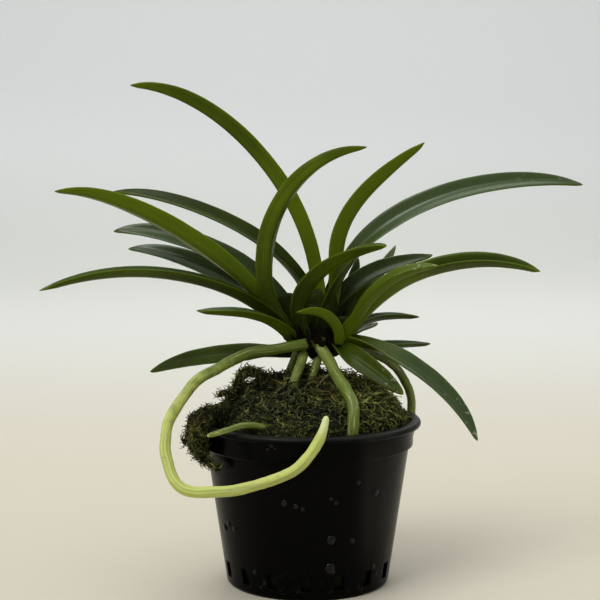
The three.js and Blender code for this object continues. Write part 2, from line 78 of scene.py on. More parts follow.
# The pot's section in detail, in millimetres. The lip's points are measured in from its radius and
# down from the pot's top.
RECESS_SLOPE = 1.0
FOOT_EDGE = 0.5
FOOT_RISE = 0.8
WALL_ROW = 20.0
HIGH_WALL_ROW = 35.0
LEDGE_RISE = 0.5
COLLAR_FLARE = 0.2
LIP_SECTION = [(0.8, LIP_DEPTH), (0.1, LIP_DEPTH - 0.5), (0.0, 1.1), (0.4, 0.3), (1.2, 0.0)]
MOUTH_EDGE = 0.4
MOUTH_DEPTH = 0.9
INNER_LEDGE_TOP = 1.0
INNER_LEDGE_DROP = 0.6
HARD_EDGE_DEGREES = 28
EDGE_SEGMENTS = 2

# Moss mound, in millimetres. A band says where a dip begins and is complete, and a relief is a height
# (a share of the radius for the wall's) and the waves on a millimetre.
MOUND_HEIGHT = 72.0
MOUND_APEX_X = 2.0
MOUND_SPREAD = 38.0
MOUND_EDGE = 1.2
MOUND_FULLNESS = 0.9
MOUND_ROUGHNESS = 1.1
LEFT_DIP = 2.5
LEFT_DIP_BAND = (20, 27)
RIGHT_RECESS = 3.5
RIGHT_RECESS_BAND = (29, 34)
CALM_EDGE_BAND = (30, 36)
CALM_EDGE_SHARE = 0.6
MOUND_SIDES = 120
MOUND_ROWS = 35
MOUND_OUTER_ROW = 34.8
MOUND_INNER_ROW = 0.5
MOSS_GAP = 0.3
MOSS_LOW_INSET = 0.4
MOSS_HIGH_INSET = 0.3
MOSS_WALL_ROWS = (8, 16)
MOSS_LEDGE_DROP = 1.0
MOSS_BRIM_DROP = 0.5
COARSE_RELIEF = (0.9, 0.35)
FINE_RELIEF = (0.7, 0.9)
WALL_RELIEF = (0.02, 0.4)

# Leaf blades: the mid line is one cubic curve from root to tip with handles rise and reach, in millimetres.
# width is the leaf laid flat, fold the lift of each half and turn the roll, in degrees,
# and blunt how late the tip narrows. tone goes from dark (0) to yellow-green (1) and beyond,
# glaze is how shiny the leaf is and how strongly a bluish sheen is painted on its inner faces,
# foot how much lighter its lower part is, or darker below 0, and wet how plainly beads of water show
# on its outer part, with a painted glint on them.
LEAVES = [
    dict(node="leaf_right_8", root=(10.5, -5, 85), rise=(12, -8, 92), reach=(5, -12, 100),
         tip=(-4, -16, 97), width=6.5, fold=50, turn=-20, blunt=4, tone=1.8, glaze=0.1),
    dict(node="leaf_mid_5", root=(0, -3, 87), rise=(-12, -14, 114), reach=(25, -26, 122),
         tip=(25, -38, 121), width=11, fold=50, turn=15, blunt=3, tone=0.5, glaze=0.25, foot=-0.35),
    dict(node="leaf_left_6", root=(-5, -3, 87), rise=(-26, -8, 111), reach=(-10, -14, 151),
         tip=(20, -16, 153), width=9.5, fold=44, turn=-38, blunt=5, tone=0.75, glaze=0.1, foot=-0.3),
    dict(node="leaf_left_3", root=(-5, -1, 86), rise=(-13, -5, 105), reach=(-59, -10, 141),
         tip=(-86, -14, 138), width=10, fold=34, turn=-50, blunt=5, tone=1.05, glaze=0.15, foot=-0.2),
    dict(node="leaf_left_2", root=(-4, -2, 85), rise=(-18, -8, 110), reach=(-62, -16, 118),
         tip=(-90, -24, 105), width=9, fold=45, turn=8, blunt=5, tone=0.45, glaze=0.25, foot=-0.25),
    dict(node="leaf_left_1", root=(-4, -3, 85), rise=(-13, -10, 98), reach=(-23, -20, 98),
         tip=(-37, -30, 99), width=8, fold=40, turn=10, blunt=4, tone=0.75, glaze=0.9),
    dict(node="leaf_right_3", root=(11, -1, 86), rise=(22, -6, 88), reach=(50, -14, 75),
         tip=(58, -18, 53), width=8.5, fold=34, turn=40, blunt=5, tone=0.5, glaze=0.95, foot=0.6,
         wet=0.9),
    dict(node="leaf_right_7", root=(10, -2, 84), rise=(8, -10, 87), reach=(28, -18, 74),
         tip=(32, -24, 70), width=8, fold=22, turn=60, blunt=4, tone=0.35, glaze=0.0, wet=0.6),
    dict(node="leaf_right_2", root=(10.4, -1.6, 83), rise=(17, -5.4, 97), reach=(24, -11, 112),
         tip=(44, -16, 113), width=9.5, fold=48, turn=26, blunt=5, tone=1.35, glaze=0.15, foot=0.5,
         wet=0.8),
    dict(node="leaf_mid_1", root=(4, 2, 87), rise=(11, 4, 131), reach=(-32, 8, 177),
         tip=(-63, 12, 175), width=10.5, fold=44, turn=-36, blunt=7, tone=0.6, glaze=0.1, foot=0.8),
    dict(node="leaf_mid_3", root=(5, 3, 87), rise=(16, 6, 116), reach=(-3, 10, 124),
         tip=(42, 16, 155), width=11.5, fold=44, turn=-38, blunt=5, tone=1.3, glaze=0.15, foot=1.0),
    dict(node="leaf_mid_4", root=(4, 1, 88), rise=(11, 3, 138), reach=(72, 2, 146),
         tip=(96, 0, 140), width=9.5, fold=30, turn=55, blunt=6, tone=0.55, glaze=0.95, wet=0.2),
    dict(node="leaf_right_1", root=(10, 1, 83), rise=(26, -2, 114), reach=(60, -10, 119),
         tip=(79, -16, 111), width=11.5, fold=58, turn=30, blunt=6, tone=0.5, glaze=0.1, foot=1.2),
    dict(node="leaf_left_5", root=(-3, 3, 88), rise=(-6, 6, 108), reach=(-48, 11, 128),
         tip=(-70, 16, 123), width=8.5, fold=26, turn=60, blunt=6, tone=0.2, glaze=0.8),
    dict(node="leaf_left_4", root=(-5, 2, 86), rise=(-7, 9, 98), reach=(-45, 18, 119),
         tip=(-66, 26, 116), width=8.5, fold=26, turn=55, blunt=5, tone=0.3, glaze=0.95),
    dict(node="leaf_mid_2", root=(3, 3, 87), rise=(7, 8, 120), reach=(-53, 14, 140),
         tip=(-71, 20, 137), width=8.5, fold=36, turn=34, blunt=6, tone=0.2, glaze=0.15),
    dict(node="leaf_left_7", root=(-1, 6, 82), rise=(-10, 10, 78), reach=(-35, 16, 82),
         tip=(-58, 22, 71), width=8.5, fold=26, turn=55, blunt=5, tone=0.3, glaze=0.0),
    dict(node="leaf_mid_6", root=(5, 4, 87), rise=(13, 8, 109), reach=(27, 16, 111),
         tip=(46, 24, 114), width=8, fold=32, turn=45, blunt=5, tone=0.15, glaze=0.4),
    dict(node="leaf_right_4", root=(11, 4, 85), rise=(16, 9, 91), reach=(25, 14, 95),
         tip=(41, 20, 91.5), width=7, fold=36, turn=5, blunt=4, tone=0.05, glaze=0.0),
    dict(node="leaf_right_5", root=(11, 6, 84), rise=(18, 12, 89), reach=(21, 18, 88),
         tip=(26, 24, 89), width=6, fold=34, turn=15, blunt=3, tone=0.15, glaze=0.15),
    dict(node="leaf_right_6", root=(10, 3, 82), rise=(18, 6, 83), reach=(32, 12, 83),
         tip=(45, 18, 82), width=7, fold=34, turn=12, blunt=4, tone=0.2, glaze=0.05),
    dict(node="leaf_back_2", root=(11, 6, 89), rise=(14, 11, 98), reach=(17, 15, 107),
         tip=(18.5, 20, 113.5), width=7, fold=36, turn=30, blunt=3, tone=0.3, glaze=0.2),
    dict(node="leaf_back_1", root=(11, 6, 87), rise=(18, 10, 98), reach=(27, 22, 108),
         tip=(33, 34, 117), width=7, fold=34, turn=20, blunt=3, tone=0.6, glaze=0.2),
]

# What the leaves share: the groove along the keel in millimetres, and how far edge and line waver.
LEAF_GROOVE = 0.35
LEAF_WAVER = 0.03
LEAF_SEED_STEP = 1.7
LEAF_STEPS_ACROSS = 23
LEAF_STEPS_ALONG = 90
LEAF_MARKS = ("tone", "glaze", "wet", "foot")

# Form that every blade has: how its rows crowd towards the tip, how the tip is rounded and how much
# wider it starts; how often its edge wavers and tears and its middle line sways over its length; and
# what a waver of 1 would swing the edge, as a share of the width, and the middle line, in millimetres.
# Points nearer than the join distance, in millimetres, are merged.
MIDDLE_POINTS = 96
ROW_CROWDING = 1.2
TIP_ROUNDNESS = 0.75
FOOT_WIDTH = 1.05
EDGE_WAVES = 9.0
EDGE_TEARS = 30.0
EDGE_SWING = 4.0
MIDDLE_SWAYS = 3.0
MIDDLE_SWING = 14.0
JOIN_DISTANCE = 0.004

# Dry remains of old leaf sheaths at the front of the middle growth, in the same terms as the leaves.
OLD_SHEATHS = [
    dict(root=(3, -2, 80), rise=(3, -5, 84), reach=(2, -6, 88), tip=(1.5, -6, 92.5), width=5.5),
    dict(root=(7, -2, 80), rise=(8, -5, 84), reach=(8.5, -6, 87), tip=(6.5, -7, 91), width=5),
    dict(root=(-1, -2, 81), rise=(-2, -5, 85), reach=(-4, -6, 88), tip=(-3, -7, 92), width=4.5),
    dict(root=(5, -3, 80), rise=(6, -7, 83), reach=(4, -8, 86), tip=(3.5, -7.5, 90), width=3.5),
    dict(root=(1, -3, 81), rise=(0, -7, 83.5), reach=(1, -8, 87), tip=(-0.5, -7, 90.5), width=3),
    dict(root=(8, -3, 81), rise=(9, -6, 84), reach=(7, -8, 86), tip=(9, -8, 89.5), width=3),
    dict(root=(-2, -3, 82), rise=(-4, -6, 83), reach=(-3, -8, 86), tip=(-6, -7.5, 88.5), width=2.8),
]

# What the old sheaths share, in the terms of the blade tree.
SHEATH_SHAPE = {
    "Fold": math.radians(26), "Turn": 0.0, "Blunt": 3.0, "Keel Thickness": 1.0 * MM,
    "Margin Thickness": 0.5 * MM, "Groove": 0.3 * MM, "Waver": 0.08, "Ragged": 0.7, "Tone": 0.0,
    "Glaze": 0.0, "Steps Across": 25, "Steps Along": 50}
SHEATH_SEED = 20.0
SHEATH_SEED_STEP = 3.1

# Roots: points on the middle line, radius at the start and at the tip, in millimetres.
ROOTS = [
    dict(node="root_long", radius=(1.9, 1.8), finish="root_silver", path=[
        (6, 0, 85), (1.5, -4, 85), (-4.5, -8, 84.5), (-12.5, -11, 83.5), (-19, -14, 83), (-25, -17, 81),
        (-31, -20, 78), (-37, -23, 75), (-41, -26, 70.5), (-44.5, -29, 65.5), (-46.5, -32, 61.5),
        (-47, -35, 57), (-47, -37, 53.5), (-46, -39, 50), (-44.5, -41, 46), (-42, -43, 43),
        (-38.5, -44, 41.5), (-31.5, -45, 41.5), (-24, -45, 42), (-16, -45, 44), (-10, -45, 46),
        (-4, -45, 49), (-0.5, -45, 52.5), (2.5, -44, 56.5), (4.5, -43, 60.5), (6, -42, 66)]),
    dict(node="root_front", radius=(2.1, 2.0), finish="root_green", path=[
        (2, 1, 86.5), (4, -4, 84), (7, -9, 80), (10, -16, 75), (13, -23, 71), (15, -29, 67), (15, -32, 63),
        (14.5, -32.5, 55)]),
    dict(node="root_short_1", radius=(1.7, 1.7), finish="root_green", path=[
        (-1, -3, 82), (-3, -10, 77), (-5, -14, 72), (-6, -16, 65)]),
    dict(node="root_short_2", radius=(1.5, 1.4), finish="root_green", path=[
        (4, -2, 80), (2, -7, 75), (1, -9, 70), (1, -10, 64)]),
    dict(node="root_short_3", radius=(1.7, 1.6), finish="root_brown", path=[
        (-3, 2, 82), (-5, 3, 77), (-7, 3, 71), (-8, 3, 64)]),
    dict(node="root_back", radius=(1.7, 1.5), finish="root_brown", path=[
        (10.5, 2, 83), (15, 6, 82), (23.5, 13, 79), (31, 17, 74.5), (36, 19, 67.5), (38, 19.5, 62),
        (38.2, 19.5, 57), (38, 19, 47)]),
    dict(node="root_tip", radius=(1.3, 0.85), finish="root_fresh", path=[
        (-8, -27, 56.5), (-12, -29.5, 59), (-16, -31, 60.4), (-19.5, -31.8, 61), (-23, -32.5, 60.7),
        (-27, -32.3, 59.4), (-30.5, -30, 57.9), (-33.8, -28, 56.6)]),
]

# Skins of the roots: the shares of the length where the silver skin begins and covers all, and how
# brown it is. A range that runs down is silver at the foot.
ROOT_SKINS = {
    "root_silver": dict(silver=(0.18, 0.52), brown=0.0),
    "root_fresh": dict(silver=(0.6, 1.4), brown=0.1),
    "root_green": dict(silver=(0.8, -1.2), brown=0.3),
    "root_brown": dict(silver=(0.4, 1.5), brown=0.55),
}

# Form of the roots and of the wisps of moss. Swells are counted on a metre, the last part of a strand
# tapers to the given share, and its end is rounded over so many radii.
SWELLS = 130.0
TAPER_FROM = 0.94
TAPER_TO = 0.6
END_ROUNDING = 1.6
PATH_RESOLUTION = 16
ROOT_SIDES = 24
ROOT_SEED = 3.0
ROOT_SWELLING = 0.22
ROOT_BUMP_SCALE = 420.0

# The three growths of the clump: foot, top, half width and half depth at each, in millimetres.
GROWTHS = [
    dict(foot=(-1, 0, 82), top=(-9, 0, 101), wide=(3.4, 6.2), deep=(2.8, 1.8)),
    dict(foot=(3, 1, 80), top=(6, 1, 103), wide=(4, 6), deep=(3.2, 2)),
    dict(foot=(8, 0, 81), top=(14, 0, 93), wide=(3.4, 4.4), deep=(2.8, 1.8)),
]

# How a growth swells and closes: a place along it and the share of its full thickness there.
GROWTH_SWELL = [(-0.06, 0.5), (0, 0.8), (0.3, 1), (0.65, 1), (0.9, 0.8), (1, 0.5), (1.04, 0.2)]
ROUNDING = 1e-9
GROWTH_SIDES = 40
GROWTH_STEPS = 44
GROWTH_LUMPS_PER_MM = 0.45
GROWTH_LUMPINESS = 0.06
SHEATH_EDGES = 4.0
SHEATH_EDGE_LIFT = 0.09

# Wisps of moss, in millimetres: the clump over the rim, its curls, its nub, the loop on top and its tail.
WISPS = [
    dict(radius=(3, 2.7, 2.1, 2, 1.9), path=[
        (-31, -6, 60), (-36, -7, 60.4), (-39.5, -8, 57.6), (-39.8, -9, 53), (-38.6, -10, 48)]),
    dict(radius=(3.2, 3, 2.8, 2.7, 2), path=[
        (-28, -15, 60.6), (-33, -17.5, 60.8), (-36.4, -19.5, 57.6), (-36.8, -20, 52),
        (-35.6, -19.5, 47.5)]),
    dict(radius=(2.4, 2.6, 1.6), path=[(-38.2, -14.5, 57), (-38, -14.5, 51), (-36.8, -14.5, 46)]),
    dict(radius=(1.4, 1.2, 1, 0.8), path=[
        (-37, -17, 50), (-36.2, -19, 48), (-33.2, -21.8, 46), (-29.6, -24.2, 44.2)]),
    dict(radius=(1.4, 1.1, 0.9), path=[(-39.6, -9, 52), (-42, -8, 51.4), (-43.8, -8, 50.4)]),
    dict(radius=(1.9, 1.7, 1.5, 1.5, 1.7, 2), path=[
        (-26, -6, 64), (-24.6, -6, 70), (-22.8, -6, 74), (-19.5, -6, 75.2), (-16.3, -6, 73.6),
        (-13, -6, 68)]),
    dict(radius=(1.4, 1.1, 1.1), path=[(-26, -7, 65), (-28.8, -7, 67.8), (-31.3, -7, 66.8)]),
]

WISP_SEED = 30.0
WISP_STRAND = {
    "Start Radius": 0.85 * MM, "End Radius": 0.85 * MM, "Step": 0.5 * MM, "Sides": 16,
    "Swelling": 0.5, "Bumpiness": 0.7 * MM, "Bump Scale": 500.0}

# Covers of moss: the size of a sprig beside its pattern, its tilt off the ground's normal in radians
# and what is added to the moss's seed. The wisps' density is in sprigs on a square millimetre.
MOUND_COVER = [
    dict(name="moss_strands_1", sprig="strand", size=(0.6, 1.25), tilt=(0.7, 1.4), seed=0),
    dict(name="moss_strands_2", sprig="strand", size=(0.5, 1.0), tilt=(0.5, 1.3), seed=20),
    dict(name="moss_tufts", sprig="tuft", size=(0.5, 1.15), tilt=(0.2, 1.2), seed=40),
]
WISP_COVER = [
    dict(name="moss_wisp_strands", sprig="strand", size=(0.3, 0.62), tilt=(0.7, 1.45), seed=60,
         density=1.7),
    dict(name="moss_wisp_tufts", sprig="tuft", size=(0.3, 0.75), tilt=(0.4, 1.3), seed=80, density=0.9),
]

# In millimetres: the heights above which moss grows, the band inside the rim where its sprigs get
# smaller, and how far inside the collar that band ends. The wisps hang over the rim, so for them the
# rim is put far out.
MOUND_COVER_FROM = 56.8
WISP_COVER_FROM = 40.0
RIM_TRIM = 9.0
RIM_CLEARANCE = 1.8
BEYOND_RIM = 1000.0
PER_SQUARE_MM = 1e6
PATCH_SCALE = 140.0

# Patterns of moss, in millimetres: the strand lies with both ends in the ground, the tuft stands up.
# Droop, wave and shortening are shares of the length; twist, waviness, turn and stray are in radians.
SPRIG_SEGMENTS = 6
SPRIG_SIDES = 3
SPRIG_TWIST = 2
SPRIG_WAVE = 0.09
SPRIG_WAVINESS = 6.5
DROOP_SHORTENS = 0.25
BURIED_END = 0.35
TIP_THINNING = 0.75
THICKNESS_RANGE = (0.85, 1.15)
LEAFLETS = 5
LEAFLET_FROM = 0.06
LEAFLET_SPAN = 0.9
LEAFLET_TURN = 2.4
LEAFLET_STRAY = 0.4
LEAFLET_RISE = 0.8
LEAFLET_SHRINKING = 0.45
LEAFLET_THINNESS = 0.75
LEAFLET_RANGE = (0.7, 1.3)
LEAFLET_FOOT_LIGHT = 0.6
STRAND_DROOP = 0.6
STRAND_LEAFLET = 0.9
STRAND_SEED = 3
TUFT_DROOP = 0.3
TUFT_LEAFLET = 1.1
TUFT_THINNESS = 0.7
TUFT_SEED = 5

# Water drops on the pot: degrees round from the front, height and radius in millimetres.
POT_DROPS = [
    (-19, 55, 0.9), (-17, 54, 0.5), (-21, 53.6, 0.6), (-13.5, 35, 1.1), (-7, 34, 0.9),
    (-3, 33, 0.7), (29, 41.5, 0.8), (13, 36.5, 0.7), (16, 35, 0.8), (14, 22, 1.6),
    (14, 12, 1.8), (16, 10.5, 0.9), (-58, 24, 1.0), (-52, 23, 0.9), (-64, 22, 1.2),
    (-37, 9, 0.8), (-30, 5.5, 0.7), (42, 37, 1.3), (28, 21, 0.9), (48, 10, 0.9), (52, 7, 0.7),
]

# A drop of unit radius: its dome, how far it is sunk in the wall, how it sags and how it leans down.
DROP_RINGS = 5
DROP_SIDES = 12
DROP_DOME = 0.52
DROP_SUNK = -0.15
DROP_SAG = 1.25
DROP_TOP = 0.95
DROP_LEAN = -0.12

# The sweep of floor, in metres: where it ends at the front and starts to bend, and how high it goes.
SWEEP_HALF_WIDTH = 20.0
SWEEP_FRONT = -20.0
SWEEP_TURN = 1.2
SWEEP_BEND = 1.6
SWEEP_TOP = 9.0
SWEEP_STEPS = 16

# Soft lights: place and aim in metres, width in metres and power beside the key light's.
SOFT_LIGHTS = [
    dict(name="back_softbox", place=(0.25, 0.85, 1.15), aim=(0.0, 0.0, 0.06), size=1.1, power=1.0),
    dict(name="backdrop_wash", place=(0.0, 1.1, 2.3), aim=(0.0, 2.8, 0.9), size=1.6, power=2.8),
    dict(name="front_softbox", place=(-0.8, -0.9, 1.5), aim=(0.0, 0.0, 0.06), size=0.9, power=2.9),
]

# The light of the room: its colour, how much it leans to behind and to the right, and where it fades in.
AIR_COLOUR = (0.95, 0.98, 1.0)
AIR_BEHIND = 0.7
AIR_RIGHT = 0.15
AIR_FADE = (-0.1, 0.9)

# The camera at the photograph's viewing angle: place in metres, pitch in degrees, the rest in millimetres.
CAMERA_PLACE = (-0.0027, -0.5067, 0.1482)
CAMERA_PITCH = 84.53
CAMERA_LENS = 87.0
CAMERA_SENSOR = 36.0
CAMERA_NEAR = 10.0


def length_value(name, description, default):
    return FloatProperty(name=name, description=description, default=default, unit="LENGTH")


def colour_value(name, description, default):
    return FloatVectorProperty(
        name=name, description=description, default=default, subtype="COLOR", min=0, max=1)


class PotSettings(PropertyGroup):
    columns: IntProperty(
        name="Columns per Slot", description="Columns of faces from one drain slot to the next",
        default=8, min=6)
    edge: length_value("Edge Rounding", "Radius of the moulded edges", 0.28 * MM)
    colour: colour_value("Plastic", "Colour of the pot's plastic", (0.0012, 0.0012, 0.0012))


class LeafSettings(PropertyGroup):
    keel: length_value("Keel Thickness", "Thickness of a blade along its keel", 1.5 * MM)
    margin: length_value("Margin Thickness", "Thickness of a blade near its margins", 0.75 * MM)
    root_fold: FloatProperty(
        name="Root Fold", description="How tightly a blade is folded at its root",
        default=math.radians(56), subtype="ANGLE")
    dark: colour_value("Dark Green", "Colour of the darkest leaves", (0.022, 0.036, 0.002))
    light: colour_value("Yellow-Green", "Colour of the lightest leaves", (0.115, 0.165, 0.005))
    seed: IntProperty(name="Seed", description="Seed of the leaves' small irregularities", default=4)


class RootSettings(PropertyGroup):
    step: length_value("Step", "Distance between two rings along a root", 0.5 * MM)
    bumpiness: length_value("Bumpiness", "How far the skin of a root swells and sinks", 0.16 * MM)
    silver: colour_value("Silver Green", "Colour of the dry skin of a root", (0.56, 0.61, 0.175))
    green: colour_value("Fresh Green", "Colour of the wet skin of a root", (0.125, 0.17, 0.018))


class MossSettings(PropertyGroup):
    strands: FloatProperty(
        name="Strands", description="Lying strands on a square millimetre, in each of two layers",
        default=0.46, min=0)
    tufts: FloatProperty(
        name="Tufts", description="Standing sprigs on a square millimetre of the mound",
        default=0.4, min=0)
    strand_length: length_value("Strand Length", "Length of a lying strand", 6.0 * MM)
    strand_thickness: length_value(
        "Strand Thickness", "Half the thickness of a strand without its leaflets", 0.38 * MM)
    tuft_length: length_value("Sprig Length", "Length of a standing sprig", 3.0 * MM)
    seed: IntProperty(name="Seed", description="Seed of the moss", default=11)
    # The deep green is nearly black: painted shade for the moss deep in the tangle.
    deep: colour_value("Deep Green", "Colour of the moss in its depth", (0.008, 0.0105, 0.005))
    fresh: colour_value("Fresh Green", "Colour of the freshest strands", (0.32, 0.32, 0.085))


class StageSettings(PropertyGroup):
    floor: colour_value("Floor", "Colour of the floor round the pot", (0.6, 0.555, 0.455))
    backdrop: colour_value("Backdrop", "Colour of the sweep behind", (0.63, 0.63, 0.59))
    key: FloatProperty(
        name="Key Light", description="Power of the light behind in watts", default=5.0, unit="POWER")
    sky: FloatProperty(
        name="Room Above", description="Strength of the room's light from above", default=0.85)
    front: FloatProperty(
        name="Room in Front", description="Strength of the room's light from the front", default=0.3)


# Expressions on node sockets


class Wire:
    """An output socket that can stand in a Python expression."""

    def __init__(self, board, socket):
        self.board = board
        self.socket = socket

    def joined(self, operation, left, right):
        """A Math node, or a Vector Math node where either side is a vector."""
        wires = [side for side in (left, right) if isinstance(side, Wire)]
        vector = any(wire.socket.type == "VECTOR" for wire in wires)
        kind = "ShaderNodeVectorMath" if vector else "ShaderNodeMath"
        return self.board.node(kind, {"operation": operation}, {0: left, 1: right})

    def __add__(self, other):
        return self.joined("ADD", self, other)

    def __radd__(self, other):
        return self.joined("ADD", other, self)

    def __sub__(self, other):
        return self.joined("SUBTRACT", self, other)

    def __rsub__(self, other):
        return self.joined("SUBTRACT", other, self)

    def __mul__(self, other):
        if self.socket.type == "VECTOR" and not isinstance(other, tuple):
            if not (isinstance(other, Wire) and other.socket.type == "VECTOR"):
                return self.board.node(
                    "ShaderNodeVectorMath", {"operation": "SCALE"}, {0: self, "Scale": other})
        return self.joined("MULTIPLY", self, other)

    def __rmul__(self, other):
        return self * other

    def __truediv__(self, other):
        return self.joined("DIVIDE", self, other)

    def __rtruediv__(self, other):
        return self.joined("DIVIDE", other, self)

    def __pow__(self, other):
        return self.joined("POWER", self, other)

    def __gt__(self, other):
        return self.joined("GREATER_THAN", self, other)

    def single(self, operation):
        return self.board.node("ShaderNodeMath", {"operation": operation}, {0: self})

    def swing(self, width):
        """Noise from 0 to 1 as a change up or down about zero."""
        return (self - 0.5) * width

    def at_most(self, other):
        return self.joined("MINIMUM", self, other)

    def at_least(self, other):
        return self.joined("MAXIMUM", self, other)

    def smooth(self, low, high, first=0.0, last=1.0):
        """A smooth step from first at low to last at high."""
        return self.board.node(
            "ShaderNodeMapRange", {"interpolation_type": "SMOOTHSTEP"},
            {"Value": self, "From Min": low, "From Max": high, "To Min": first, "To Max": last})

    def dot(self, other):
        return self.board.node(
            "ShaderNodeVectorMath", {"operation": "DOT_PRODUCT"}, {0: self, 1: other}, "Value")

    def cross(self, other):
        return self.joined("CROSS_PRODUCT", self, other)

    def unit(self):
        return self.board.node("ShaderNodeVectorMath", {"operation": "NORMALIZE"}, {0: self})

    def part(self, axis):
        return self.board.node("ShaderNodeSeparateXYZ", {}, {0: self}, axis)

    def out(self, name):
        """Another output of the same node."""
        return Wire(self.board, self.socket.node.outputs[name])


class Board:
    """Adds nodes to one tree."""

    def __init__(self, tree):
        self.tree = tree

    def node(self, kind, settings=None, inputs=None, output=0):
        made = self.tree.nodes.new(kind)
        for name, value in (settings or {}).items():
            if name == "stops":
                self.set_stops(made.color_ramp, value)
            else:
                setattr(made, name, value)
        self.feed(made, inputs or {})
        return Wire(self, made.outputs[output])

    def feed(self, made, inputs):
        for key, value in inputs.items():
            socket = made.inputs[key]
            if isinstance(value, Wire):
                self.tree.links.new(value.socket, socket)
            elif socket.type == "VECTOR" and isinstance(value, (int, float)):
                socket.default_value = (value, value, value)
            elif socket.type == "RGBA":
                socket.default_value = (*tuple(value)[:3], 1.0)
            else:
                socket.default_value = value

    def set_stops(self, ramp, stops):
        while len(ramp.elements) > 1:
            ramp.elements.remove(ramp.elements[-1])
        for index, (place, colour) in enumerate(stops):
            stop = ramp.elements[0] if index == 0 else ramp.elements.new(place)
            stop.position = place
            stop.color = (*tuple(colour)[:3], 1.0)

    def vector(self, x, y, z):
        return self.node("ShaderNodeCombineXYZ", {}, {0: x, 1: y, 2: z})

    def attribute(self, name, output="Fac"):
        return self.node("ShaderNodeAttribute", {"attribute_name": name}, {}, output)

    def place(self):
        """The point's place on the object, in metres."""
        return self.node("ShaderNodeTexCoord", {}, {}, "Object")

    def noise(self, vector, scale, detail=2.0, roughness=0.5, distortion=0.0):
        return self.node(
            "ShaderNodeTexNoise", {"noise_dimensions": "3D"},
            {"Vector": vector, "Scale": scale, "Detail": detail, "Roughness": roughness,
             "Distortion": distortion})

    def stored(self, geometry, name, value, kind="FLOAT", domain="POINT"):
        return self.node(
            "GeometryNodeStoreNamedAttribute", {"data_type": kind, "domain": domain},
            {"Geometry": geometry, "Name": name, "Value": value})

    def chance(self, low, high, seed, kind="FLOAT"):
        """A random number or vector between low and high for each point or instance.

        The node has its sockets for a number and for a vector at different places."""
        low_socket, answer = {"FLOAT": (2, 1), "FLOAT_VECTOR": (0, 0)}[kind]
        return self.node(
            "FunctionNodeRandomValue", {"data_type": kind},
            {low_socket: low, low_socket + 1: high, "Seed": seed}, answer)

    def ramp(self, value, stops):
        return self.node("ShaderNodeValToRGB", {"stops": stops}, {"Fac": value})

    def blend(self, factor, first, second):
        """Mixes two colours; 6, 7 and 2 are the Mix node's sockets for colours."""
        return self.node("ShaderNodeMix", {"data_type": "RGBA"}, {0: factor, 6: first, 7: second}, 2)

    def bump(self, height, distance, strength):
        return self.node(
            "ShaderNodeBump", {}, {"Height": height, "Distance": distance, "Strength": strength})


def shader_board(name):
    material = bpy.data.materials.new(name)
    material.use_nodes = True
    return material, Board(material.node_tree), material.node_tree.nodes["Principled BSDF"]


def flesh(weight, depth, radius):
    """Light that goes a little way into leaf, stem or root; the depth is in millimetres."""
    return {
        "Subsurface Weight": weight,
        "Subsurface Radius": radius,
        "Subsurface Scale": depth * MM,
    }


# Finishes

LEAF_LIGHT = (0.9, 1.0, 0.25)
ROOT_LIGHT = (1.0, 1.0, 0.4)


def leaf_finish(settings):
    """Waxy skin with lanes, veins and a pale keel; a pale margin painted as rim light, a painted bluish
    sheen on the inner faces, and beads of water with painted glints.
    """
    # Colour of the painted sheen: the sky reflected in the inner faces.
    painted_sky_sheen = (0.062, 0.095, 0.035)
    pale_speck = (0.16, 0.19, 0.05)
    # Colour of the painted glint on the beads of water.
    water = (0.4, 0.43, 0.3)
    material, board, shader = shader_board("leaf_skin")
    place = board.place()
    blade = board.attribute("blade", "Vector")
    share = blade.part("X")
    along = blade.part("Y")
    inner = board.attribute("inner")
    tone = board.attribute("tone")
    wet = board.attribute("wet") * along.smooth(0.5, 0.92)
    glaze = board.attribute("glaze") * along.smooth(0.12, 0.5, 0.25, 1.0)
    off_centre = share.single("ABSOLUTE")
    lanes = board.noise(board.vector(share * 11.0, along * 1.1, tone * 9.0), 1.0, 3.0, 0.6)
    veins = board.noise(board.vector(share * 34.0, along * 2.2, tone * 5.0), 1.0, 2.0, 0.5)
    cloud = board.noise(place, 70.0, 3.0, 0.55)
    speck = board.noise(place, 900.0, 2.0, 0.7)
    grain = board.noise(place, 700.0, 3.0, 0.6)
    bead_and_glint = board.noise(place, 420.0, 2.0, 0.5).smooth(0.62, 0.68) * wet
    level = tone + lanes.swing(1.0) + veins.swing(0.6) + cloud.swing(0.8)
    # The margins are lightened towards the edge: a painted rim light.
    level = level - inner * 0.12 + off_centre.smooth(0.86, 1.0) * 0.35 + along.smooth(0.93, 1.0) * 0.4
    level = level + off_centre.smooth(0.0, 0.07, 0.3, 0.0) - along.smooth(0.0, 0.4, 0.35, 0.0)
    level = level + board.attribute("foot") * along.smooth(0.3, 0.62, 1.0, 0.0)
    colour = board.blend(level.smooth(-0.25, 1.25), settings.dark, settings.light)
    # Painted sheen: the inner faces of glossy leaves are tinted bluish grey-green, a painted reflection of
    # the sky.
    colour = board.blend(inner * glaze * 0.8, colour, painted_sky_sheen)
    colour = board.blend(speck.smooth(0.66, 0.74) * 0.35, colour, pale_speck)
    board.feed(shader, {
        # The pale colour of the beads is a painted glint; their bump is real.
        "Base Color": board.blend(bead_and_glint * 0.7, colour, water),
        "Roughness": 0.36 - inner * 0.03 - glaze * 0.16 + grain.swing(0.16) + lanes.swing(0.08),
        "Normal": board.bump(veins * 0.6 + lanes * 0.4 + grain * 0.12 + bead_and_glint, 0.18 * MM, 0.6),
        "Specular IOR Level": 0.12,
        "Coat Weight": 0.06 + glaze * (0.25 + inner * 0.45),
        "Coat Roughness": 0.28,
        **flesh(0.18, 1.3, LEAF_LIGHT),
    })
    return material


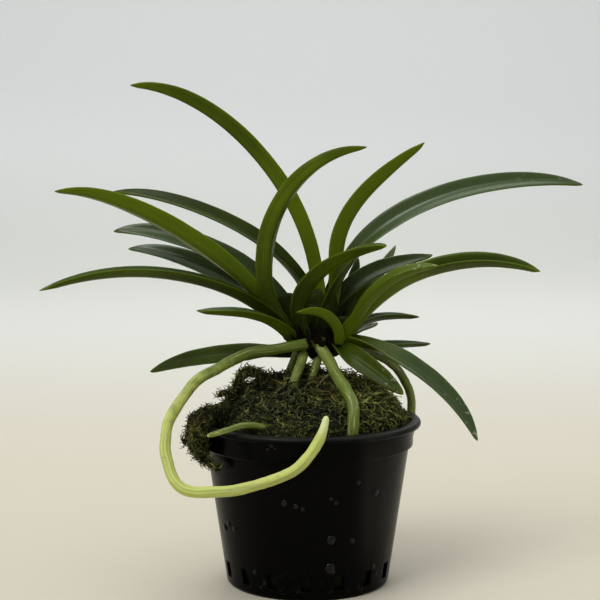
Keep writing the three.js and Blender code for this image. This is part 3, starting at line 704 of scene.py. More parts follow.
def sheath_finish():
    """Dry brown fibres along the sheath."""
    soot = (0.003, 0.002, 0.002)
    bark = (0.012, 0.006, 0.004)
    straw = (0.07, 0.045, 0.018)
    material, board, shader = shader_board("old_sheath_fibre")
    blade = board.attribute("blade", "Vector")
    fibres = board.noise(board.vector(blade.part("X") * 22.0, blade.part("Y") * 2.0, 0.0), 1.0, 3.0, 0.7)
    patches = board.noise(board.place(), 420.0, 3.0, 0.6)
    board.feed(shader, {
        "Base Color": board.ramp((fibres + patches) * 0.5, [(0.3, soot), (0.52, bark), (0.75, straw)]),
        "Roughness": 0.6 + patches * 0.3,
        "Normal": board.bump(fibres, 0.35 * MM, 0.9),
        "Specular IOR Level": 0.15,
    })
    return material


def stem_finish(settings):
    """Dark green sheaths with upright stripes and brown patches."""
    lighter = tuple(value * 2.2 for value in settings.dark)
    withered = (0.012, 0.008, 0.005)
    material, board, shader = shader_board("stem_skin")
    place = board.place()
    stripes = board.noise(place * (900.0, 900.0, 160.0), 1.0, 3.0, 0.6)
    cloud = board.noise(place, 240.0, 3.0, 0.6)
    level = (stripes + cloud) * 0.5
    colour = board.blend(level.smooth(0.35, 0.75) * 0.4, settings.dark, lighter)
    board.feed(shader, {
        "Base Color": board.blend(cloud.smooth(0.5, 0.7) * 0.7, colour, withered),
        "Roughness": 0.45 + stripes * 0.2,
        "Specular IOR Level": 0.15,
        "Normal": board.bump(stripes, 0.2 * MM, 0.7),
        **flesh(0.1, 1.0, LEAF_LIGHT),
    })
    return material


def root_finish(name, settings, silver, brown):
    """Velvety skin that goes from green to silver, with ribs, mottling, brown stains and a pale tip."""
    dusty = (0.42, 0.45, 0.18)
    rib_edge = (0.56, 0.57, 0.34)
    pale_tip = (0.78, 0.8, 0.48)
    stain_brown = (0.07, 0.055, 0.02)
    material, board, shader = shader_board(name)
    along = board.attribute("along")
    around = board.attribute("around", "Vector")
    place = board.place()
    mottle = board.noise(place, 260.0, 4.0, 0.65)
    fine = board.noise(place, 1500.0, 3.0, 0.6)
    ribs = board.vector(around.part("X") * 2.4, around.part("Y") * 2.4, along * 5.0)
    streaks = board.noise(ribs, 1.0, 4.0, 0.6, 0.3)
    edges = board.noise(ribs + 7.0, 1.3, 3.0, 0.6)
    dry = (along + mottle.swing(0.5)).smooth(*silver)
    skin = board.blend(dry, settings.green, settings.silver)
    skin = board.blend(fine.smooth(0.5, 0.75) * 0.2, skin, dusty)
    skin = board.blend(streaks.smooth(0.5, 0.64) * 0.42, skin, settings.green)
    skin = board.blend(edges.smooth(0.56, 0.66) * 0.5, skin, rib_edge)
    skin = board.blend(along.smooth(0.945, 0.985) * (1.0 - brown) * 0.75, skin, pale_tip)
    stain = (mottle + fine.swing(0.4)).smooth(0.62 - brown * 0.28, 0.8 - brown * 0.2)
    board.feed(shader, {
        "Base Color": board.blend(stain * (0.35 + brown * 0.4), skin, stain_brown),
        "Roughness": 0.5 + fine.swing(0.3) + dry * 0.12,
        "Normal": board.bump(mottle * 0.5 + fine * 0.3 + streaks * 0.4, 0.22 * MM, 0.8),
        **flesh(0.2, 1.2, ROOT_LIGHT),
    })
    return material


def moss_finish(settings):
    """Damp fronds: each strand has its own tone and is lighter towards the right of the pot; painted light
    makes a lying strand brightest at the top of its arch and a standing sprig at its end, with painted
    shade where strands go into the ground.
    """
    forest = (0.027, 0.031, 0.012)
    olive = (0.085, 0.09, 0.023)
    meadow = (0.16, 0.168, 0.046)
    rust = (0.13, 0.075, 0.025)
    material, board, shader = shader_board("moss_fibre")
    shade = board.attribute("shade")
    reach = board.attribute("reach")
    place = board.place()
    patches = board.noise(place, 75.0, 3.0, 0.6)
    fleck = board.noise(place, 900.0, 2.0, 0.6)
    # reach is the sprigs' painted light: lighter on the tops of lying strands and the ends of standing
    # sprigs, painted shade where strands go into the ground.
    level = shade * shade * 0.5 + reach * 0.32 + patches.swing(1.1) + fleck.swing(0.3)
    level = level + place.part("X").smooth(0.0, 0.03) * 0.22
    colour = board.ramp(level, [
        (0.0, settings.deep), (0.22, forest), (0.42, olive), (0.62, meadow), (0.9, settings.fresh)])
    brown = board.noise(place, 130.0, 2.0, 0.5).smooth(0.54, 0.66) * (shade > 0.6)
    board.feed(shader, {
        "Base Color": board.blend(brown * 0.7, colour, rust),
        "Roughness": 0.62 + board.noise(place, 1400.0) * 0.3,
        "Specular IOR Level": 0.35,
    })
    return material


def moss_ground_finish(settings):
    """The dark tangle between the fronds, kept nearly black: painted shade in the depth of the moss."""
    peat_in_painted_shade = (0.014, 0.017, 0.006)
    thread = (0.05, 0.05, 0.016)
    material, board, shader = shader_board("moss_depth")
    place = board.place()
    tangle = board.noise(place, 900.0, 4.0, 0.7, 1.2)
    patches = board.noise(place, 160.0, 3.0, 0.6)
    board.feed(shader, {
        "Base Color": board.ramp(
            (tangle + patches) * 0.5, [(0.3, settings.deep), (0.5, peat_in_painted_shade), (0.68, thread)]),
        "Roughness": 0.8 + patches * 0.15,
        "Normal": board.bump(tangle, 0.8 * MM, 1.0),
        "Specular IOR Level": 0.25,
    })
    return material


def pot_finish(settings):
    """Glossy black plastic: splashed foot, fine scratches, a painted sheen in a band at the right and a
    worn lip.
    """
    splash_grey = (0.05, 0.045, 0.035)
    # Colour of the painted sheen.
    sheen = (0.026, 0.026, 0.024)
    worn_grey = (0.042, 0.043, 0.036)
    material, board, shader = shader_board("pot_gloss_black")
    place = board.place()
    side = place.part("X")
    height = place.part("Z")
    haze = board.noise(place * (1.0, 1.0, 0.35), 90.0, 4.0, 0.6)
    grain = board.noise(place, 2600.0, 2.0, 0.5)
    scratch = board.noise(place * (1.0, 1.0, 0.12), 1100.0, 3.0, 0.7)
    splash = board.noise(place, 420.0, 3.0, 0.6).smooth(0.58, 0.7)
    foot = height.smooth(0.0, 0.016, 1.0, 0.0) * splash
    # Painted sheen: a band at the right of the pot is lightened towards grey, as if it caught a reflection.
    painted_sheen_band = side.smooth(0.015, 0.021) * side.smooth(0.027, 0.034, 1.0, 0.0) * height.smooth(0.004, 0.03)
    worn = height.smooth(0.0562, 0.0578)
    marks = foot * 0.35 + scratch.smooth(0.62, 0.75) * 0.12
    colour = board.blend(marks, settings.colour, splash_grey)
    colour = board.blend(painted_sheen_band * (0.3 + haze * 0.7), colour, sheen)
    board.feed(shader, {
        "Base Color": board.blend(worn * (0.35 + scratch * 0.4), colour, worn_grey),
        "Roughness": 0.2 + haze * 0.1 + foot * 0.3 + worn * 0.14 + grain.swing(0.05),
        "Normal": board.bump(haze * 0.5 + grain * 0.05, 0.12 * MM, 0.2),
        "Specular IOR Level": 0.1,
    })
    return material


def drop_finish():
    """Water over black plastic."""
    thin = (0.003, 0.003, 0.003)
    thick = (0.008, 0.008, 0.008)
    material, board, shader = shader_board("water_drop")
    ripple = board.noise(board.place(), 900.0, 2.0, 0.5)
    board.feed(shader, {
        "Base Color": board.blend(ripple.smooth(0.4, 0.7), thin, thick),
        "Roughness": 0.03 + ripple * 0.05,
        "Specular IOR Level": 0.4,
        "IOR": 1.36,
        "Coat Weight": 0.3,
        "Coat Roughness": 0.03,
    })
    return material


def floor_finish(settings):
    """A pale floor that turns into a paler backdrop with height and distance."""
    high_backdrop = (0.73, 0.74, 0.725)
    dust = (0.6, 0.59, 0.56)
    material, board, shader = shader_board("pale_floor")
    place = board.place()
    grain = board.noise(place, 60.0, 3.0, 0.5)
    behind = board.blend(place.part("Z").smooth(-0.03, 0.2), settings.backdrop, high_backdrop)
    sweep = board.blend(place.part("Y").smooth(0.1, 0.8), settings.floor, behind)
    board.feed(shader, {
        "Base Color": board.blend(grain * 0.06, sweep, dust),
        "Roughness": 0.6 + grain * 0.1,
        "Specular IOR Level": 0.2,
    })
    return material


# Shared making


def geometry_board(name, **sockets):
    """A tree with a geometry in and out, and the named inputs of each kind."""
    tree = bpy.data.node_groups.new(name, "GeometryNodeTree")
    tree.interface.new_socket("Geometry", in_out="OUTPUT", socket_type="NodeSocketGeometry")
    tree.interface.new_socket("Geometry", in_out="INPUT", socket_type="NodeSocketGeometry")
    for kind, labels in sockets.items():
        for label in labels:
            tree.interface.new_socket(label, in_out="INPUT", socket_type=f"NodeSocket{kind}")
    board = Board(tree)
    entry = tree.nodes.new("NodeGroupInput")
    given = {socket.name: Wire(board, socket) for socket in entry.outputs if socket.name}
    return board, given


def close_tree(board, geometry, material):
    realized = board.node("GeometryNodeRealizeInstances", {}, {"Geometry": geometry})
    coloured = board.node("GeometryNodeSetMaterial", {}, {"Geometry": realized, "Material": material})
    leave = board.tree.nodes.new("NodeGroupOutput")
    board.tree.links.new(coloured.socket, leave.inputs[0])
    return board.tree


def grown(name, tree, values, carrier=None):
    """Runs a tree on a carrier and keeps its result as a plain mesh object."""
    data = carrier or bpy.data.meshes.new(name + "_carrier")
    source = bpy.data.objects.new(name + "_source", data)
    bpy.context.scene.collection.objects.link(source)
    modifier = source.modifiers.new("Growth", "NODES")
    modifier.node_group = tree
    for item in tree.interface.items_tree:
        if item.item_type == "SOCKET" and item.in_out == "INPUT" and item.name in values:
            modifier[item.identifier] = values[item.name]
    piece = plain_mesh(name, source)
    source.modifiers.clear()
    bpy.data.objects.remove(source)
    return piece


def plain_mesh(name, source):
    """The mesh of an object with its modifiers, as an object of its own."""
    graph = bpy.context.evaluated_depsgraph_get()
    mesh = bpy.data.meshes.new_from_object(
        source.evaluated_get(graph), preserve_all_data_layers=True, depsgraph=graph)
    mesh.name = name
    piece = bpy.data.objects.new(name, mesh)
    bpy.context.scene.collection.objects.link(piece)
    if not mesh.polygons:
        raise RuntimeError(f"{name} came out empty")
    return piece


def mesh_object(name, positions, faces, material=None, smooth=True):
    mesh = bpy.data.meshes.new(name)
    mesh.from_pydata(positions, [], faces)
    mesh.validate()
    if smooth:
        mesh.shade_smooth()
    if material:
        mesh.materials.append(material)
    piece = bpy.data.objects.new(name, mesh)
    bpy.context.scene.collection.objects.link(piece)
    return piece


def curve_data(name, points, radii=None):
    """A smooth path through points in millimetres, with a share of the radius at each."""
    curve = bpy.data.curves.new(name, "CURVE")
    curve.dimensions = "3D"
    curve.resolution_u = PATH_RESOLUTION
    spline = curve.splines.new("BEZIER")
    spline.bezier_points.add(len(points) - 1)
    for index, (knot, point) in enumerate(zip(spline.bezier_points, points)):
        knot.co = Vector(point) * MM
        knot.handle_left_type = "AUTO"
        knot.handle_right_type = "AUTO"
        knot.radius = radii[index] if radii else 1.0
    return curve


def slot_of(node):
    """The material slot that the record gives a node."""
    return next(
        part["material_slot"] for part in frame["record"]["subparts"] if part["node"] == node)


def declare(piece, slot, *nodes):
    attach(piece, BODY)
    if nodes:
        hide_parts(*nodes)


def scaled(point):
    return tuple(value * MM for value in point)


def round_axis(radius, angle, height):
    """The point at a radius, an angle from +X and a height."""
    return (radius * math.cos(angle), radius * math.sin(angle), height)


def tube_faces(first, rows, sides):
    """Quads between the rings of a tube, whose points start at first."""
    faces = []
    for row in range(rows):
        low = first + row * sides
        high = low + sides
        for side in range(sides):
            after = (side + 1) % sides
            faces.append((low + side, low + after, high + after, high + side))
    return faces


def face_outward(piece):
    """Turns the faces of a closed mesh outwards."""
    shell = bmesh.new()
    shell.from_mesh(piece.data)
    bmesh.ops.recalc_face_normals(shell, faces=shell.faces)
    shell.to_mesh(piece.data)
    shell.free()


# Trees


def blade_tree():
    """A folded strap leaf: an upper and a lower sheet over one grid, merged where they meet."""
    board, given = geometry_board(
        "Strap leaf blade",
        Vector=["Root", "Rise", "Reach", "Tip"],
        Float=["Width", "Fold", "Root Fold", "Turn", "Blunt", "Keel Thickness", "Margin Thickness",
               "Groove", "Waver", "Ragged", "Seed", "Tone", "Glaze", "Wet", "Foot"],
        Int=["Steps Across", "Steps Along"],
        Material=["Material"])
    line = board.node(
        "GeometryNodeCurvePrimitiveBezierSegment", {"mode": "POSITION"},
        {"Resolution": MIDDLE_POINTS, "Start": given["Root"], "Start Handle": given["Rise"],
         "End Handle": given["Reach"], "End": given["Tip"]})
    grid = board.node("GeometryNodeMeshGrid", {}, {
        "Size X": 2.0, "Size Y": 1.0,
        "Vertices X": given["Steps Across"], "Vertices Y": given["Steps Along"]})
    flat = board.node("GeometryNodeInputPosition")
    raw = flat.part("X")
    share = raw * (1.3 - raw * raw * 0.3)
    along_raw = flat.part("Y") + 0.5
    t = 1.0 - (1.0 - along_raw).at_least(0.0) ** ROW_CROWDING
    sample = board.node(
        "GeometryNodeSampleCurve", {"mode": "FACTOR", "use_all_curves": True},
        {"Curves": line, "Factor": t})
    along = sample.out("Tangent").unit()
    heading = ((given["Tip"] - given["Root"]) * (1.0, 1.0, 0.0)).unit()
    level = board.vector(0.0, 0.0, 1.0).cross(heading)
    across = (level - along * along.dot(level)).unit()
    turn = given["Turn"] * t.smooth(0.02, 0.45)
    across = across * turn.single("COSINE") + along.cross(across) * turn.single("SINE")
    up = along.cross(across)
    fold = given["Root Fold"] + (given["Fold"] - given["Root Fold"]) * t.smooth(0.0, 0.4)
    sine = fold.single("SINE")
    cosine = fold.single("COSINE")
    side = raw.single("SIGN")
    edge = board.noise(board.vector(t * EDGE_WAVES, side * 3.0 + 7.0, given["Seed"]), 1.0, 2.0, 0.5)
    tears = board.noise(board.vector(t * EDGE_TEARS, side * 5.0, given["Seed"] + 3.0), 1.0, 3.0, 0.7)
    sway = board.noise(board.vector(t * MIDDLE_SWAYS, given["Seed"], 2.0), 1.0, 1.0, 0.5)
    waver = edge.swing(given["Waver"]) * EDGE_SWING
    half = given["Width"] * 0.5 * t.smooth(0.0, 0.25, FOOT_WIDTH, 1.0)
    half = half * (1.0 - t ** given["Blunt"]).at_least(0.0) ** TIP_ROUNDNESS
    half = half * (1.0 + waver - tears.smooth(0.45, 0.65) * given["Ragged"])
    reach = share * half
    off_centre = share.single("ABSOLUTE")
    valley = ((reach * sine) ** 2.0 + given["Groove"] ** 2.0).single("SQRT")
    rise = valley - given["Groove"] - half * sine * 0.5
    slope = reach * sine * sine / valley
    steep = (slope * slope + cosine * cosine).single("SQRT")
    thick = given["Keel Thickness"] + (given["Margin Thickness"] - given["Keel Thickness"]) * off_centre
    thick = thick * 0.5 * (1.0 - off_centre ** 8.0).at_least(0.0).single("SQRT")
    thick = thick * off_centre.smooth(0.0, 0.16, 1.15, 1.0) * t.smooth(0.0, 0.004)
    thick = thick.at_most(half * 0.5)
    centre = sample.out("Position") + up * (sway.swing(given["Waver"]) * MIDDLE_SWING * MM)
    blade = board.vector(share, t, given["Seed"])
    sheets = []
    for face in (1.0, -1.0):
        push_x = slope * -1.0 / steep * thick * face
        push_y = cosine / steep * thick * face
        spot = centre + across * (reach * cosine + push_x) + up * (rise + push_y)
        kept = board.stored(grid, "blade", blade, "FLOAT_VECTOR")
        kept = board.stored(kept, "inner", 1.0 if face > 0 else 0.0, domain="FACE")
        for name in LEAF_MARKS:
            kept = board.stored(kept, name, given[name.capitalize()])
        sheet = board.node("GeometryNodeSetPosition", {}, {"Geometry": kept, "Position": spot})
        if face > 0:
            sheet = board.node("GeometryNodeFlipFaces", {}, {"Mesh": sheet})
        sheets.append(sheet)
    both = board.node("GeometryNodeJoinGeometry", {}, {"Geometry": sheets[0]})
    board.tree.links.new(sheets[1].socket, both.socket.node.inputs[0])
    closed = board.node(
        "GeometryNodeMergeByDistance", {}, {"Geometry": both, "Distance": JOIN_DISTANCE * MM})
    soft = board.node("GeometryNodeSetShadeSmooth", {}, {"Geometry": closed, "Shade Smooth": True})
    return close_tree(board, soft, given["Material"])


def strand_tree():
    """A round strand along a curve, with a rounded end, that swells and sinks as a root does."""
    board, given = geometry_board(
        "Round strand",
        Float=["Start Radius", "End Radius", "Step", "Swelling", "Bumpiness", "Bump Scale", "Seed"],
        Int=["Sides"],
        Material=["Material"])
    line = board.node(
        "GeometryNodeResampleCurve", {"mode": "LENGTH"},
        {"Curve": given["Geometry"], "Length": given["Step"]})
    spline = board.node("GeometryNodeSplineParameter")
    factor = spline.out("Factor")
    length = board.node("GeometryNodeCurveLength", {}, {"Curve": line})
    left = length - spline.out("Length")
    radius = given["Start Radius"] + (given["End Radius"] - given["Start Radius"]) * factor
    radius = radius * board.node("GeometryNodeInputRadius")
    swell = board.noise(board.vector(spline.out("Length") * SWELLS, given["Seed"], 0.0), 1.0, 2.0, 0.5)
    radius = radius * (1.0 + swell.swing(given["Swelling"]))
    radius = radius * factor.smooth(TAPER_FROM, 1.0, 1.0, TAPER_TO)
    rounding = 1.0 - (left / (radius * END_ROUNDING)).at_most(1.0)
    radius = radius * (1.0 - rounding * rounding).at_least(0.0).single("SQRT")
    line = board.stored(line, "along", factor)
    ring = board.node(
        "GeometryNodeCurvePrimitiveCircle", {"mode": "RADIUS"},
        {"Resolution": given["Sides"], "Radius": 1.0})
    ring = board.stored(ring, "around", board.node("GeometryNodeInputPosition"), "FLOAT_VECTOR")
    tube = board.node(
        "GeometryNodeCurveToMesh", {},
        {"Curve": line, "Profile Curve": ring, "Scale": radius, "Fill Caps": True})
    place = board.node("GeometryNodeInputPosition")
    lump = board.noise(place + given["Seed"], given["Bump Scale"], 3.0, 0.55)
    facing = board.node("GeometryNodeInputNormal")
    tube = board.node(
        "GeometryNodeSetPosition", {},
        {"Geometry": tube, "Offset": facing * (lump.swing(given["Bumpiness"]) * 2.0)})
    tube = board.node(
        "GeometryNodeMergeByDistance", {}, {"Geometry": tube, "Distance": JOIN_DISTANCE * MM})
    soft = board.node("GeometryNodeSetShadeSmooth", {}, {"Geometry": tube, "Shade Smooth": True})
    return close_tree(board, soft, given["Material"])


def scatter_tree():
    """Sprigs of moss over a surface, in patches, and smaller towards the rim of the pot."""
    board, given = geometry_board(
        "Moss cover",
        Float=["Density", "Lowest", "Smallest", "Largest", "Least Tilt", "Most Tilt", "Rim Radius"],
        Int=["Seed"],
        Object=["Sprig"],
        Material=["Material"])
    place = board.node("GeometryNodeInputPosition")
    patches = board.noise(place, PATCH_SCALE, 2.0, 0.5)
    density = given["Density"] * (place.part("Z") > given["Lowest"]) * patches.smooth(0.3, 0.6, 0.55, 1.3)
    points = board.node(
        "GeometryNodeDistributePointsOnFaces", {"distribute_method": "RANDOM"},
        {"Mesh": given["Geometry"], "Density": density, "Seed": given["Seed"]}, "Points")
    sprig = board.node(
        "GeometryNodeObjectInfo", {"transform_space": "ORIGINAL"}, {"Object": given["Sprig"]}, "Geometry")
    size = board.chance(given["Smallest"], given["Largest"], given["Seed"])
    level = place * (1.0, 1.0, 0.0)
    radius = level.dot(level).single("SQRT")
    size = size * radius.smooth(given["Rim Radius"] - RIM_TRIM * MM, given["Rim Radius"], 1.0, 0.5)
    placed = board.node(
        "GeometryNodeInstanceOnPoints", {},
        {"Points": points, "Instance": sprig, "Rotation": points.out("Rotation"), "Scale": size})
    low = board.vector(given["Least Tilt"], 0.0, 0.0)
    high = board.vector(given["Most Tilt"], 0.0, math.tau)
    lean = board.chance(low, high, given["Seed"] + 1.0, "FLOAT_VECTOR")
    leaned = board.node(
        "GeometryNodeRotateInstances", {}, {"Instances": placed, "Rotation": lean, "Local Space": True})
    shade = board.chance(0.0, 1.0, given["Seed"] + 2.0)
    kept = board.stored(leaned, "shade", shade, domain="INSTANCE")
    return close_tree(board, kept, given["Material"])


# Pot


def pot_wall_radius(height):
    share = min(height / (POT_HEIGHT - COLLAR_HEIGHT), 1.0)
    return FOOT_RADIUS + (BODY_TOP_RADIUS - FOOT_RADIUS) * share


def pot_profile():
    """Half section from the axis under the floor, up the outside and down the inside.

    Returns the points and the rows that bound the drain slots outside and inside."""
    step = POT_HEIGHT - COLLAR_HEIGHT
    flare = COLLAR_RADIUS + COLLAR_FLARE
    slot_low = (pot_wall_radius(SLOT_LOW), SLOT_LOW)
    slot_high_inside = (pot_wall_radius(SLOT_HIGH) - POT_WALL, SLOT_HIGH)
    profile = [
        (0, 0), (BASE_DISC_RADIUS * 0.5, 0), (BASE_DISC_RADIUS, 0),
        (BASE_DISC_RADIUS + RECESS_SLOPE, BASE_RECESS),
        (FOOT_RADIUS - FOOT_RING - RECESS_SLOPE, BASE_RECESS), (FOOT_RADIUS - FOOT_RING, 0),
        (FOOT_RADIUS - FOOT_EDGE, 0), (pot_wall_radius(FOOT_RISE), FOOT_RISE),
        slot_low, (pot_wall_radius(SLOT_HIGH), SLOT_HIGH),
        (pot_wall_radius(WALL_ROW), WALL_ROW), (pot_wall_radius(HIGH_WALL_ROW), HIGH_WALL_ROW),
        (BODY_TOP_RADIUS, step), (COLLAR_RADIUS, step + LEDGE_RISE),
        (flare, POT_HEIGHT - LIP_DEPTH + LEDGE_RISE),
        *[(LIP_RADIUS - inward, POT_HEIGHT - down) for inward, down in LIP_SECTION],
        (COLLAR_RADIUS - MOUTH_EDGE, POT_HEIGHT), (flare - POT_WALL, POT_HEIGHT - MOUTH_DEPTH),
        (COLLAR_RADIUS - POT_WALL, step + INNER_LEDGE_TOP),
        (BODY_TOP_RADIUS - POT_WALL, step - INNER_LEDGE_DROP),
        (pot_wall_radius(WALL_ROW) - POT_WALL, WALL_ROW),
        slot_high_inside, (pot_wall_radius(SLOT_LOW) - POT_WALL, SLOT_LOW),
        (pot_wall_radius(FLOOR_TOP) - POT_WALL, FLOOR_TOP), (0, FLOOR_TOP)]
    return profile, profile.index(slot_low), profile.index(slot_high_inside)


def pot_angles(columns):
    """Angles round the pot, with a narrow pair of columns at each slot."""
    half_slot = math.asin(SLOT_WIDTH / 2 / pot_wall_radius((SLOT_LOW + SLOT_HIGH) / 2))
    pitch = math.tau / SLOT_COUNT
    angles = []
    for slot in range(SLOT_COUNT):
        middle = math.radians(SLOT_START) + pitch * slot
        angles += [middle - half_slot, middle, middle + half_slot]
        rest = columns - 2
        gap = pitch - 2 * half_slot
        angles += [middle + half_slot + gap * index / rest for index in range(1, rest)]
    return angles


def pot_shell(settings):
    """The turned profile, with the walls of each drain slot between its outside and inside."""
    profile, low_out, high_in = pot_profile()
    angles = pot_angles(settings.columns)
    around = len(angles)
    positions = []
    ring_start = []
    for radius, height in profile:
        ring_start.append(len(positions))
        if radius == 0:
            positions.append(scaled((0, 0, height)))
        else:
            positions += [scaled(round_axis(radius, angle, height)) for angle in angles]

    def corner(row, column):
        if profile[row][0] == 0:
            return ring_start[row]
        return ring_start[row] + column % around

    slot_starts = [slot * settings.columns for slot in range(SLOT_COUNT)]
    slot_columns = {start + column for start in slot_starts for column in range(2)}
    faces = []
    for row in range(len(profile) - 1):
        for column in range(around):
            if row in (low_out, high_in) and column in slot_columns:
                continue
            face = [corner(row, column), corner(row, column + 1), corner(row + 1, column + 1),
                    corner(row + 1, column)]
            faces.append(list(dict.fromkeys(face)))
    for start in slot_starts:
        lows = [start, start + 1, start + 2]
        outer = [corner(low_out, c) for c in lows] + [corner(low_out + 1, c) for c in reversed(lows)]
        inner = [corner(high_in + 1, c) for c in lows] + [corner(high_in, c) for c in reversed(lows)]
        for index in range(len(outer)):
            after = (index + 1) % len(outer)
            faces.append([outer[after], outer[index], inner[index], inner[after]])
    return positions, faces


def with_rounded_edges(piece, radius):
    """Bevels the hard edges of a piece and keeps the result as its mesh."""
    bevel = piece.modifiers.new("Rounded edges", "BEVEL")
    bevel.width = radius
    bevel.segments = EDGE_SEGMENTS
    bevel.limit_method = "ANGLE"
    bevel.angle_limit = math.radians(HARD_EDGE_DEGREES)
    bevel.use_clamp_overlap = True
    weight = piece.modifiers.new("Even shading", "WEIGHTED_NORMAL")
    weight.keep_sharp = False
    finished = plain_mesh(piece.name + "_finished", piece)
    name = piece.name
    bpy.data.objects.remove(piece)
    finished.name = name
    return finished


def drop_mesh():
    """A flattened drop of unit radius standing on the plane z = 0."""
    positions = [(0.0, 0.0, DROP_DOME)]
    faces = []
    for ring in range(1, DROP_RINGS + 1):
        lean = math.pi / 2 * ring / DROP_RINGS
        for side in range(DROP_SIDES):
            angle = math.tau * side / DROP_SIDES
            positions.append(round_axis(math.sin(lean), angle, DROP_DOME * math.cos(lean)))
    positions.append((0.0, 0.0, DROP_SUNK))
    for side in range(DROP_SIDES):
        after = (side + 1) % DROP_SIDES
        faces.append((0, 1 + side, 1 + after))
        for ring in range(DROP_RINGS - 1):
            low = 1 + ring * DROP_SIDES
            high = low + DROP_SIDES
            faces.append((low + side, high + side, high + after, low + after))
        last = 1 + (DROP_RINGS - 1) * DROP_SIDES
        faces.append((len(positions) - 1, last + after, last + side))
    return positions, faces


class ORCHID_OT_pot(Operator):
    """Turns the nursery pot with its lip, collar, foot ring and drain slots"""

    bl_idname = "orchid.pot"
    bl_label = "Nursery Pot"

    def execute(self, context):
        settings = context.scene.orchid_pot
        positions, faces = pot_shell(settings)
        shell = mesh_object("pot_shell", positions, faces, pot_finish(settings))
        face_outward(shell)
        piece = with_rounded_edges(shell, settings.edge)
        declare(piece, "pot_plastic", "pot")
        return {"FINISHED"}


class ORCHID_OT_drops(Operator):
    """Puts small water drops on the outside of the pot"""

    bl_idname = "orchid.drops"
    bl_label = "Water Drops"

    def execute(self, context):
        unit_positions, unit_faces = drop_mesh()
        positions = []
        faces = []
        for degrees, height, size in POT_DROPS:
            on_collar = height > POT_HEIGHT - COLLAR_HEIGHT
            radius = COLLAR_RADIUS + COLLAR_FLARE / 2 if on_collar else pot_wall_radius(height)
            angle = math.radians(degrees)
            outward = Vector((math.sin(angle), -math.cos(angle), DROP_LEAN)).normalized()
            sideways = Vector((math.cos(angle), math.sin(angle), 0.0))
            upward = sideways.cross(outward) * -1.0
            middle = Vector((radius * math.sin(angle), -radius * math.cos(angle), height))
            first = len(positions)
            for x, y, z in unit_positions:
                sag = DROP_SAG if y < 0 else DROP_TOP
                point = middle + (sideways * x + upward * y * sag + outward * z) * size
                positions.append(tuple(point * MM))
            faces += [tuple(first + index for index in face) for face in unit_faces]
        piece = mesh_object("pot_drops", positions, faces, drop_finish())
        face_outward(piece)
        declare(piece, "pot_plastic")
        return {"FINISHED"}


# Leaves and sheaths


def blade_line(shape):
    """The four points of a blade's middle line, as inputs of the blade tree."""
    return {corner.capitalize(): scaled(shape[corner]) for corner in ("root", "rise", "reach", "tip")}


class ORCHID_OT_leaves(Operator):
    """Grows the folded strap leaves, each a piece of its own"""

    bl_idname = "orchid.leaves"
    bl_label = "Leaves"

    def execute(self, context):
        settings = context.scene.orchid_leaf
        skin = leaf_finish(settings)
        tree = blade_tree()
        for index, leaf in enumerate(LEAVES):
            facing = 1.0 if leaf["tip"][0] > leaf["root"][0] else -1.0
            piece = grown(leaf["node"] + "_blade", tree, {
                **blade_line(leaf),
                "Width": leaf["width"] * MM,
                "Fold": math.radians(leaf["fold"]),
                "Root Fold": settings.root_fold,
                "Turn": math.radians(leaf["turn"]) * facing,
                "Blunt": float(leaf["blunt"]),
                "Keel Thickness": settings.keel,
                "Margin Thickness": settings.margin,
                "Groove": LEAF_GROOVE * MM,
                "Waver": LEAF_WAVER,
                "Ragged": 0.0,
                "Seed": settings.seed + index * LEAF_SEED_STEP,
                **{mark.capitalize(): leaf.get(mark, 0.0) for mark in LEAF_MARKS},
                "Steps Across": LEAF_STEPS_ACROSS,
                "Steps Along": LEAF_STEPS_ALONG,
                "Material": skin,
            })
            declare(piece, slot_of(leaf["node"]), leaf["node"])
        return {"FINISHED"}


class ORCHID_OT_sheaths(Operator):
    """Adds the ragged dry remains of old leaf sheaths"""

    bl_idname = "orchid.sheaths"
    bl_label = "Old Sheaths"

    def execute(self, context):
        settings = context.scene.orchid_leaf
        skin = sheath_finish()
        tree = blade_tree()
        for index, sheath in enumerate(OLD_SHEATHS):
            piece = grown(f"old_sheath_{index + 1}", tree, {
                **SHEATH_SHAPE,
                **blade_line(sheath),
                "Width": sheath["width"] * MM,
                "Root Fold": settings.root_fold,
                "Seed": SHEATH_SEED + index * SHEATH_SEED_STEP,
                "Material": skin,
            })
            declare(piece, "old_sheath", *(["old_sheaths"] if index == 0 else []))
        return {"FINISHED"}


# Stems


def growth_swell(place):
    """Share of a growth's full thickness at a place along it."""
    spans = zip(GROWTH_SWELL, GROWTH_SWELL[1:])
    (low, first), (high, last) = next(span for span in spans if place <= span[1][0] + ROUNDING)
    return first + (last - first) * ((place - low) / (high - low))


def growth_rings(growth):
    """Rings of points round a growth, with the edges of its overlapping sheaths."""
    foot = Vector(growth["foot"])
    top = Vector(growth["top"])
    along = (top - foot).normalized()
    deep = Vector((0, 1, 0))
    wide = deep.cross(along).normalized()
    lowest = GROWTH_SWELL[0][0]
    highest = GROWTH_SWELL[-1][0]
    positions = []
    for step in range(GROWTH_STEPS + 1):
        place = lowest + (highest - lowest) * step / GROWTH_STEPS
        t = min(max(place, 0.0), 1.0)
        swell = growth_swell(place)
        wrap = 1.0 + SHEATH_EDGE_LIFT * ((t * SHEATH_EDGES) % 1.0)
        centre = foot + along * (place * (top - foot).length)
        half_wide, half_deep = [
            (growth[way][0] + (growth[way][1] - growth[way][0]) * t) * swell for way in ("wide", "deep")]
        for side in range(GROWTH_SIDES):
            angle = math.tau * side / GROWTH_SIDES
            offset = (wide * half_wide * math.cos(angle) + deep * half_deep * math.sin(angle)) * wrap
            lump = noise.noise((centre + offset) * GROWTH_LUMPS_PER_MM) * GROWTH_LUMPINESS
            positions.append(tuple((centre + offset * (1.0 + lump)) * MM))
    return positions


